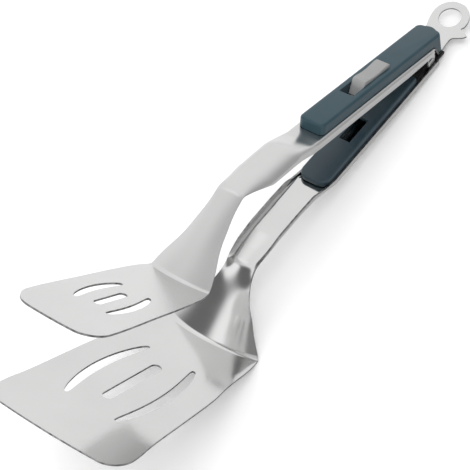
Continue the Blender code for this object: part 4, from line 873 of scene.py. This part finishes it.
# the plastic pieces

def gripOutline(front, rear, half, frontCorner, rearCorner, rearBow=0.0, steps=12):
    # plan of a long grip with round corners, its rear edge bowed
    quarter, inner = math.pi / 2, half - rearCorner
    side = arcPoints(front + frontCorner, half - frontCorner, frontCorner, 2 * quarter, quarter, steps)
    side += arcPoints(rear - rearCorner, inner, rearCorner, quarter, 0, steps)
    across = [1 - 2 * k / steps for k in range(1, steps)]
    bow = [(rear + rearBow * (1 - share * share), inner * share) for share in across]
    return side + bow + [(x, -y) for x, y in reversed(side)]


upperGripLook = {
    "front": -0.1175, "rear": 0.0114, "halfWidth": 0.0090, "top": 0.0175, "seat": 0.0105, "heel": 0.0036,
    "frontCorner": 0.0034, "rearCorner": 0.0044, "rearBow": 0.0016, "topRound": 0.0023, "roundSteps": 6,
    "frontRake": 0.0010, "rearRake": 0.0034, "wall": 0.0018, "heelReach": 0.0158, "pilotTop": 0.0150,
    "slotFront": -0.0815, "slotRear": -0.0414, "slotHalf": 0.0049,
    "hollows": [(-0.1145, -0.1024), (-0.0956, -0.0833), (-0.0396, -0.0194), (-0.0126, -0.0018)],
    # how far the cutters reach past the grip
    "cutFront": -0.1300, "cutLow": -0.0150, "cutHalf": 0.0180, "cutTop": 0.0200,
}


def buildUpperGrip(mats):
    look = upperGripLook
    top, round_, corners = look["top"], look["topRound"], (look["frontCorner"], look["rearCorner"])
    outline = gripOutline(look["front"], look["rear"], look["halfWidth"], *corners, look["rearBow"])
    grip = raiseOutline("upperGripShell", outline, look["heel"], top)
    roundEdges(grip, lambda a, b: min(a.z, b.z) > top - tiny, round_, look["roundSteps"])
    tall = top - round_ - look["heel"]
    for vert in grip.data.vertices:
        below = min(1.0, (top - round_ - vert.co.z) / tall)
        if below > 0:
            ahead = vert.co.x < look["front"] / 2
            vert.co.x += (-look["frontRake"] if ahead else look["rearRake"]) * below

    # the underside follows the steel: its web, the dip behind the hinge and the loop's plate
    tail, foot, plate = dipPoints()
    dip = (foot - tail).normalized()
    across, dipAcross = Vector((-plate.y, plate.x)), Vector((-dip.y, dip.x))
    overTail, overFoot = tail + dipAcross * shared["offSheet"], foot + across * shared["offSheet"]
    knee = overTail - dip * ((look["seat"] - overTail.y) / -dip.y)
    heel = overTail + dip * ((overTail - overFoot).dot(across) / -dip.dot(across))
    ease = shared["dipBend"] * math.tan(dip.angle(plate) / 2)
    end = heel + plate * look["heelReach"]
    under = [
        (look["cutFront"], look["seat"]), (knee.x, look["seat"]), tuple(heel - dip * ease),
        tuple(heel + plate * ease), tuple(end), (end.x, look["cutLow"]), (look["cutFront"], look["cutLow"]),
    ]
    carve(grip, raiseSideways("gripUnder", under, look["cutHalf"]))
    half = look["slotHalf"]
    slotLow, slotHigh = (look["slotFront"], -half, look["heel"]), (look["slotRear"], half, look["cutTop"])
    carve(grip, block("gripSlot", slotLow, slotHigh))
    inner = look["halfWidth"] - look["wall"]
    for front, rear in look["hollows"]:
        carve(grip, block("gripHollow", (front, -inner, 0.0), (rear, inner, top - look["wall"])))
    for x in shared["upperScrews"]:
        drillPilot(grip, x, 0.0, look["pilotTop"])
    finishPiece(grip, upperFrame, "upper_arm_body", "upper_grip", mats["tealPlastic"])


insertLook = {
    "front": -0.1182, "rear": -0.0170, "halfWidth": 0.0100, "top": 0.0030,
    "frontCorner": 0.0064, "rearCorner": 0.0014, "topRound": 0.0011, "roundSteps": 5, "chamfer": 0.0020,
    "skin": 0.0020,
    "windowFront": -0.0823, "windowRear": -0.0620, "windowHalf": 0.0039,
    "hollows": [(-0.1122, -0.1074), (-0.1006, -0.0334), (-0.0266, -0.0190)], "hollowHalf": 0.0068,
    # the steel ramps up under the front: where that starts, its height at the handle's end, its slope
    "rampStart": -0.1025, "rampFloor": -0.004988, "rampSlope": 0.45,
    "pilotLow": -0.0080, "pilotTop": -0.0006,
    # how far the cutters reach past the insert
    "cutFront": -0.1210, "cutRear": -0.0150, "cutLow": -0.0150, "cutTop": 0.0100, "cutPast": 0.002,
    "cutDeep": 0.006,
}


def buildInsert(mats):
    look = insertLook
    half, top, chamfer, past = look["halfWidth"], look["top"], look["chamfer"], look["cutPast"]
    outline = gripOutline(look["front"], look["rear"], half, look["frontCorner"], look["rearCorner"])
    insert = raiseOutline("channelInsert", outline, shared["lowerFloor"], top)
    roundEdges(insert, lambda a, b: min(a.z, b.z) > top - tiny, look["topRound"], look["roundSteps"])
    # clear of the channel's round corners, and of the ramp before the neck
    clearances = [
        (look["rampStart"], look["cutRear"], shared["lowerFloor"], 0.0),
        (look["cutFront"], look["rampStart"], look["rampFloor"], look["rampSlope"]),
    ]
    for start, end, low, slope in clearances:
        wide = half + past
        under = [
            (-wide, low - look["cutDeep"]), (wide, low - look["cutDeep"]), (wide, low + chamfer + past),
            (half - chamfer, low), (chamfer - half, low), (-wide, low + chamfer + past),
        ]
        carve(insert, raiseLengthways("insertUnder", under, start, end, slope, shared["handleEnd"]))
    inner = look["hollowHalf"]
    for front, rear in look["hollows"]:
        hollow = block("insertHollow", (front, -inner, look["cutLow"]), (rear, inner, top - look["skin"]))
        carve(insert, hollow)
    side, front, rear = look["windowHalf"], look["windowFront"], look["windowRear"]
    carve(insert, block("lockWindow", (front, -side, 0), (rear, side, look["cutTop"])))
    for x in shared["lowerScrews"]:
        drillPilot(insert, x, look["pilotLow"], look["pilotTop"])
    finishPiece(insert, lowerFrame, "lower_arm_body", "lower_grip", mats["insertPlastic"])


buttonLook = {
    "front": -0.0700, "rear": -0.0417, "foot": 0.0018, "bottom": 0.0105, "top": 0.0175, "proud": 0.0027,
    "halfWidth": 0.0046, "edge": 0.0010, "edgeSteps": 5, "topSteps": 32, "pilotTop": 0.0138,
    # height of the top along the button, as shares; the first two are its steep front
    "scoop": [
        (0.0, -1.0), (0.04, 0.55), (0.08, 1.0), (0.16, 0.98), (0.32, 0.72), (0.52, 0.62), (0.72, 0.80),
        (0.86, 1.0), (0.95, 0.92), (1.0, 0.6),
    ],
    "stem": ((-0.0620, -0.0022, 0.00885), (-0.0540, 0.0022, 0.0108)),
    "leafPocket": ((-0.0533, -0.0028, 0.0102), (-0.0432, 0.0028, 0.0121)),
}


def buildButton(mats):
    look = buttonLook
    front, bottom, half, scoop = look["front"], look["bottom"], look["halfWidth"], look["scoop"]
    length, crown, steps = look["rear"] - front, scoop[2][0], look["topSteps"]
    places = [place for place, _ in scoop[:2]] + [crown + (1 - crown) * k / steps for k in range(steps + 1)]
    outline = [(look["rear"], bottom), (front - look["foot"], bottom)]
    for k, place in enumerate(places):
        height = scoop[k][1] if k < 2 else flowing(scoop, place)
        outline.append((front + length * place, look["top"] + look["proud"] * height))
    button = raiseSideways("scoopedButton", outline, half)

    def topEdge(a, b):
        return abs(abs(a.y) - half) < tiny and abs(a.y - b.y) < tiny and min(a.z, b.z) > bottom + tiny

    roundEdges(button, topEdge, look["edge"], look["edgeSteps"])
    joinShape(button, block("buttonStem", *look["stem"]), "UNION")
    drillPilot(button, shared["lockScrew"], 0.0, look["pilotTop"])
    carve(button, block("leafPocket", *look["leafPocket"]))
    finishPiece(button, upperFrame, "lock_slider", "lock_button", mats["greyPlastic"], 30)


hingeBlockLook = {
    "wallStart": 0.0056, "tail": 0.0142, "tailBevel": 0.0024, "halfWidth": 0.0100, "skin": 0.0008,
    "cheek": 0.0040, "cheekHalf": 0.0076, "cheekSteps": 32, "tongueEnd": -0.0155, "tongueHigh": 0.0030,
    "recessFront": -0.0090, "recessHalf": 0.0046, "recessTop": 0.0060,
    # the cut along both lower edges of the tail: from here to here across, and this high
    "chamferInner": 0.0060, "chamferOuter": 0.0120, "chamferHigh": 0.0040,
    "cutPast": 0.002, "pilotHigh": 0.005,
}


def buildHingeBlock(mats):
    look = hingeBlockLook
    floor, start, tail, skin = shared["lowerFloor"], look["wallStart"], look["tail"], look["skin"]
    # the loop's plate rests on the block's tail when the tongs are open
    _, foot, plate = dipPoints()
    swing = Matrix.Rotation(-openAngle, 2)
    foot, along = swing @ foot, swing @ plate
    under = foot - Vector((-along.y, along.x)) * shared["offSheet"]
    atTail = under + along * ((tail - under.x) / along.x)
    rear = [
        (start, floor), (tail - look["tailBevel"], floor), (tail, floor + look["tailBevel"]), tuple(atTail),
        tuple(under), (start, under.y),
    ]
    made = raiseSideways("blackHingeBlock", rear, look["halfWidth"])
    body = [(start + skin, floor), (start + skin, under.y - skin)]
    body += arcPoints(0, 0, look["cheek"], 0, math.pi, look["cheekSteps"])
    tongueEnd, tongueTop = look["tongueEnd"], floor + look["tongueHigh"]
    body += [(-look["cheek"], tongueTop), (tongueEnd, tongueTop), (tongueEnd, floor)]
    joinShape(made, raiseSideways("blockBody", body, look["cheekHalf"]), "UNION")
    half, past = look["recessHalf"], look["cutPast"]
    recessLow = (look["recessFront"], -half, floor + skin)
    carve(made, block("blockRecess", recessLow, (start - skin, half, look["recessTop"])))
    for side in (-1, 1):
        inner, outer = side * look["chamferInner"], side * look["chamferOuter"]
        wedge = [(outer, floor - past), (inner, floor - past), (outer, floor + look["chamferHigh"])]
        carve(made, raiseLengthways("blockChamfer", wedge, start - past, tail + past))
    drillPinBore(made, look["chamferOuter"])
    drillPilot(made, shared["blockScrew"], floor - past, floor + look["pilotHigh"])
    finishPiece(made, lowerFrame, "lower_arm_body", "hinge_block", mats["blackPlastic"])


# the turned pieces

def turnProfile(name, profile, steps):
    # half a profile, spun round Z
    bpy.ops.object.select_all(action="DESELECT")
    bpy.ops.mesh.primitive_circle_add(vertices=len(profile), radius=1, fill_type="NOTHING")
    piece = bpy.context.object
    piece.name = name
    for vert, (r, z) in zip(piece.data.vertices, profile):
        vert.co = (r, 0, z)
    selectEdges(piece, lambda a, b: {a, b} == {0, len(profile) - 1})
    bpy.ops.mesh.delete(type="EDGE")
    bpy.ops.mesh.select_all(action="SELECT")
    bpy.ops.mesh.spin(steps=steps, angle=2 * math.pi, center=(0, 0, 0), axis=(0, 0, 1))
    mergeClose()
    faceOutwards(piece)
    return piece


pinLook = {
    "radius": 0.00175, "headRadius": 0.0034, "headStart": 0.00945, "headEnd": 0.00995, "round": 0.00035,
    "flat": 0.5, "roundTurns": (0, 0.4, 0.8, 1.2, 1.57), "steps": 64,
}


def buildPin(mats):
    look = pinLook
    head, end, soft, turns = look["headRadius"], look["headEnd"], look["round"], look["roundTurns"]
    upper = [(0, end), (head * look["flat"], end)]
    upper += [(head - soft + soft * math.sin(a), end - soft + soft * math.cos(a)) for a in turns]
    upper += [(head, look["headStart"]), (look["radius"], look["headStart"])]
    profile = upper + [(x, -z) for x, z in reversed(upper)]
    pin = turnProfile("brightHingePin", profile, look["steps"])
    pin.data.transform(Matrix.Rotation(math.pi / 2, 4, "X"))
    finishPiece(pin, upperFrame, "upper_arm_body", "hinge_pin", mats["platedSteel"], 40)


screwLook = {
    "length": 0.0057, "shank": 0.0012, "point": 0.0003, "head": 0.0026, "headHeight": 0.0009, "rim": 0.35,
    "domeTurns": (0, 0.3, 0.6, 0.9, 1.2), "cross": 0.0030, "crossWidth": 0.0006, "crossDepth": 0.0005,
    "steps": 40,
}
screwPlaces = [
    # the node it stands for, place along its arm, height of its seat, length, arm, body
    ("grip_screw_front", shared["upperScrews"][0], 0.0087, 0.0057, "upper", "upper_arm_body"),
    ("grip_screw_rear", shared["upperScrews"][1], 0.0087, 0.0057, "upper", "upper_arm_body"),
    ("insert_screw_front", shared["lowerScrews"][0], -0.0072, 0.0057, "lower", "lower_arm_body"),
    ("insert_screw_rear", shared["lowerScrews"][1], -0.0072, 0.0057, "lower", "lower_arm_body"),
    ("block_screw", shared["blockScrew"], -0.0072, 0.0042, "lower", "lower_arm_body"),
    ("lock_screw", shared["lockScrew"], 0.0069, 0.0063, "upper", "lock_slider"),
]


def buildScrews(mats):
    # one screw is modelled; the six are copies of it, each shank drawn out to its own length
    look = screwLook
    shank, head, high, point = look["shank"], look["head"], look["headHeight"], look["point"]
    rim = look["rim"]
    dome = [(head * math.cos(a), -high * (rim + (1 - rim) * math.sin(a))) for a in look["domeTurns"]]
    profile = [(0, look["length"]), (shank - point, look["length"]), (shank, look["length"] - point)]
    profile += [(shank, 0), (head, 0)] + dome + [(0, -high)]
    first = turnProfile("panScrew", profile, look["steps"])
    across, narrow, deep = look["cross"] / 2, look["crossWidth"] / 2, look["crossDepth"]
    for halfX, halfY in ((across, narrow), (narrow, across)):
        carve(first, block("cross", (-halfX, -halfY, -high - deep), (halfX, halfY, -high + deep)))
    for name, x, seat, length, arm, body in screwPlaces:
        selectOnly(first)
        bpy.ops.object.duplicate()
        screw = bpy.context.object
        screw.name = "pan" + name.title().replace("_", "")
        for vert in screw.data.vertices:
            if vert.co.z > look["length"] / 2:
                vert.co.z += length - look["length"]
        place = (upperFrame if arm == "upper" else lowerFrame) @ Matrix.Translation((x, 0, seat))
        finishPiece(screw, place, body, name, mats["platedSteel"], 40)
    bpy.data.objects.remove(first)


springLook = {
    "wire": 0.0007, "coil": 0.0036, "turns": 3, "rise": 0.0068, "lowerLeg": 0.0078, "upperLeg": 0.0120,
    "upperRest": 0.0080, "pointsATurn": 36, "wireRound": 5,
}


def buildHingeSpring(mats):
    # one wire: a leg on the block's floor, the turns round the pin, a leg under the upper web
    look = springLook
    coil, rise = look["coil"], look["rise"]
    end = Matrix.Rotation(-openAngle, 2) @ Vector((-look["upperLeg"], look["upperRest"]))
    leave = math.atan2(end.y, end.x) - math.acos(coil / end.length)
    start = -math.pi / 2
    total = 2 * math.pi * look["turns"] + (leave - start) % (2 * math.pi)
    steps = round(look["pointsATurn"] * total / (2 * math.pi))
    points = [(-look["lowerLeg"], -rise / 2, -coil)]
    for k in range(steps + 1):
        angle = start + total * k / steps
        points.append((coil * math.cos(angle), rise * (k / steps - 0.5), coil * math.sin(angle)))
    points.append((end.x, rise / 2, end.y))
    bpy.ops.object.select_all(action="DESELECT")
    bpy.ops.curve.primitive_bezier_curve_add(location=(0, 0, 0))
    wire = bpy.context.object
    wire.name = "coiledHingeSpring"
    wire.data.splines.clear()
    spline = wire.data.splines.new("POLY")
    spline.points.add(len(points) - 1)
    for point, place in zip(spline.points, points):
        point.co = (*place, 1)
    wire.data.bevel_depth = look["wire"]
    wire.data.bevel_resolution = look["wireRound"]
    wire.data.use_fill_caps = True
    bpy.ops.object.convert(target="MESH")
    spring = bpy.context.object
    bpy.ops.object.mode_set(mode="EDIT")
    mergeClose()
    faceOutwards(spring)
    finishPiece(spring, lowerFrame, None, "hinge_spring", mats["platedSteel"])
    # the turns wind up between the two legs; where they start and end along the pin is worked out but not
    # used, and the spring is baked in place
    sideStep = Vector((0, rise / 2 - look["wire"], 0))
    start, end = tuple(hinge - sideStep), tuple(hinge + sideStep)
    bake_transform(spring)


addCamera()
addFloor()
addStudio()
materials = {name: pieceMaterial(name) for name in pieceFinishes}
print("finishes made:", len(materials))
dressNodes(materials)
for build in (
    buildLowerArm, buildUpperArm, buildUpperGrip, buildInsert, buildButton, buildHingeBlock, buildPin,
    buildScrews, buildHingeSpring,
):
    build(materials)
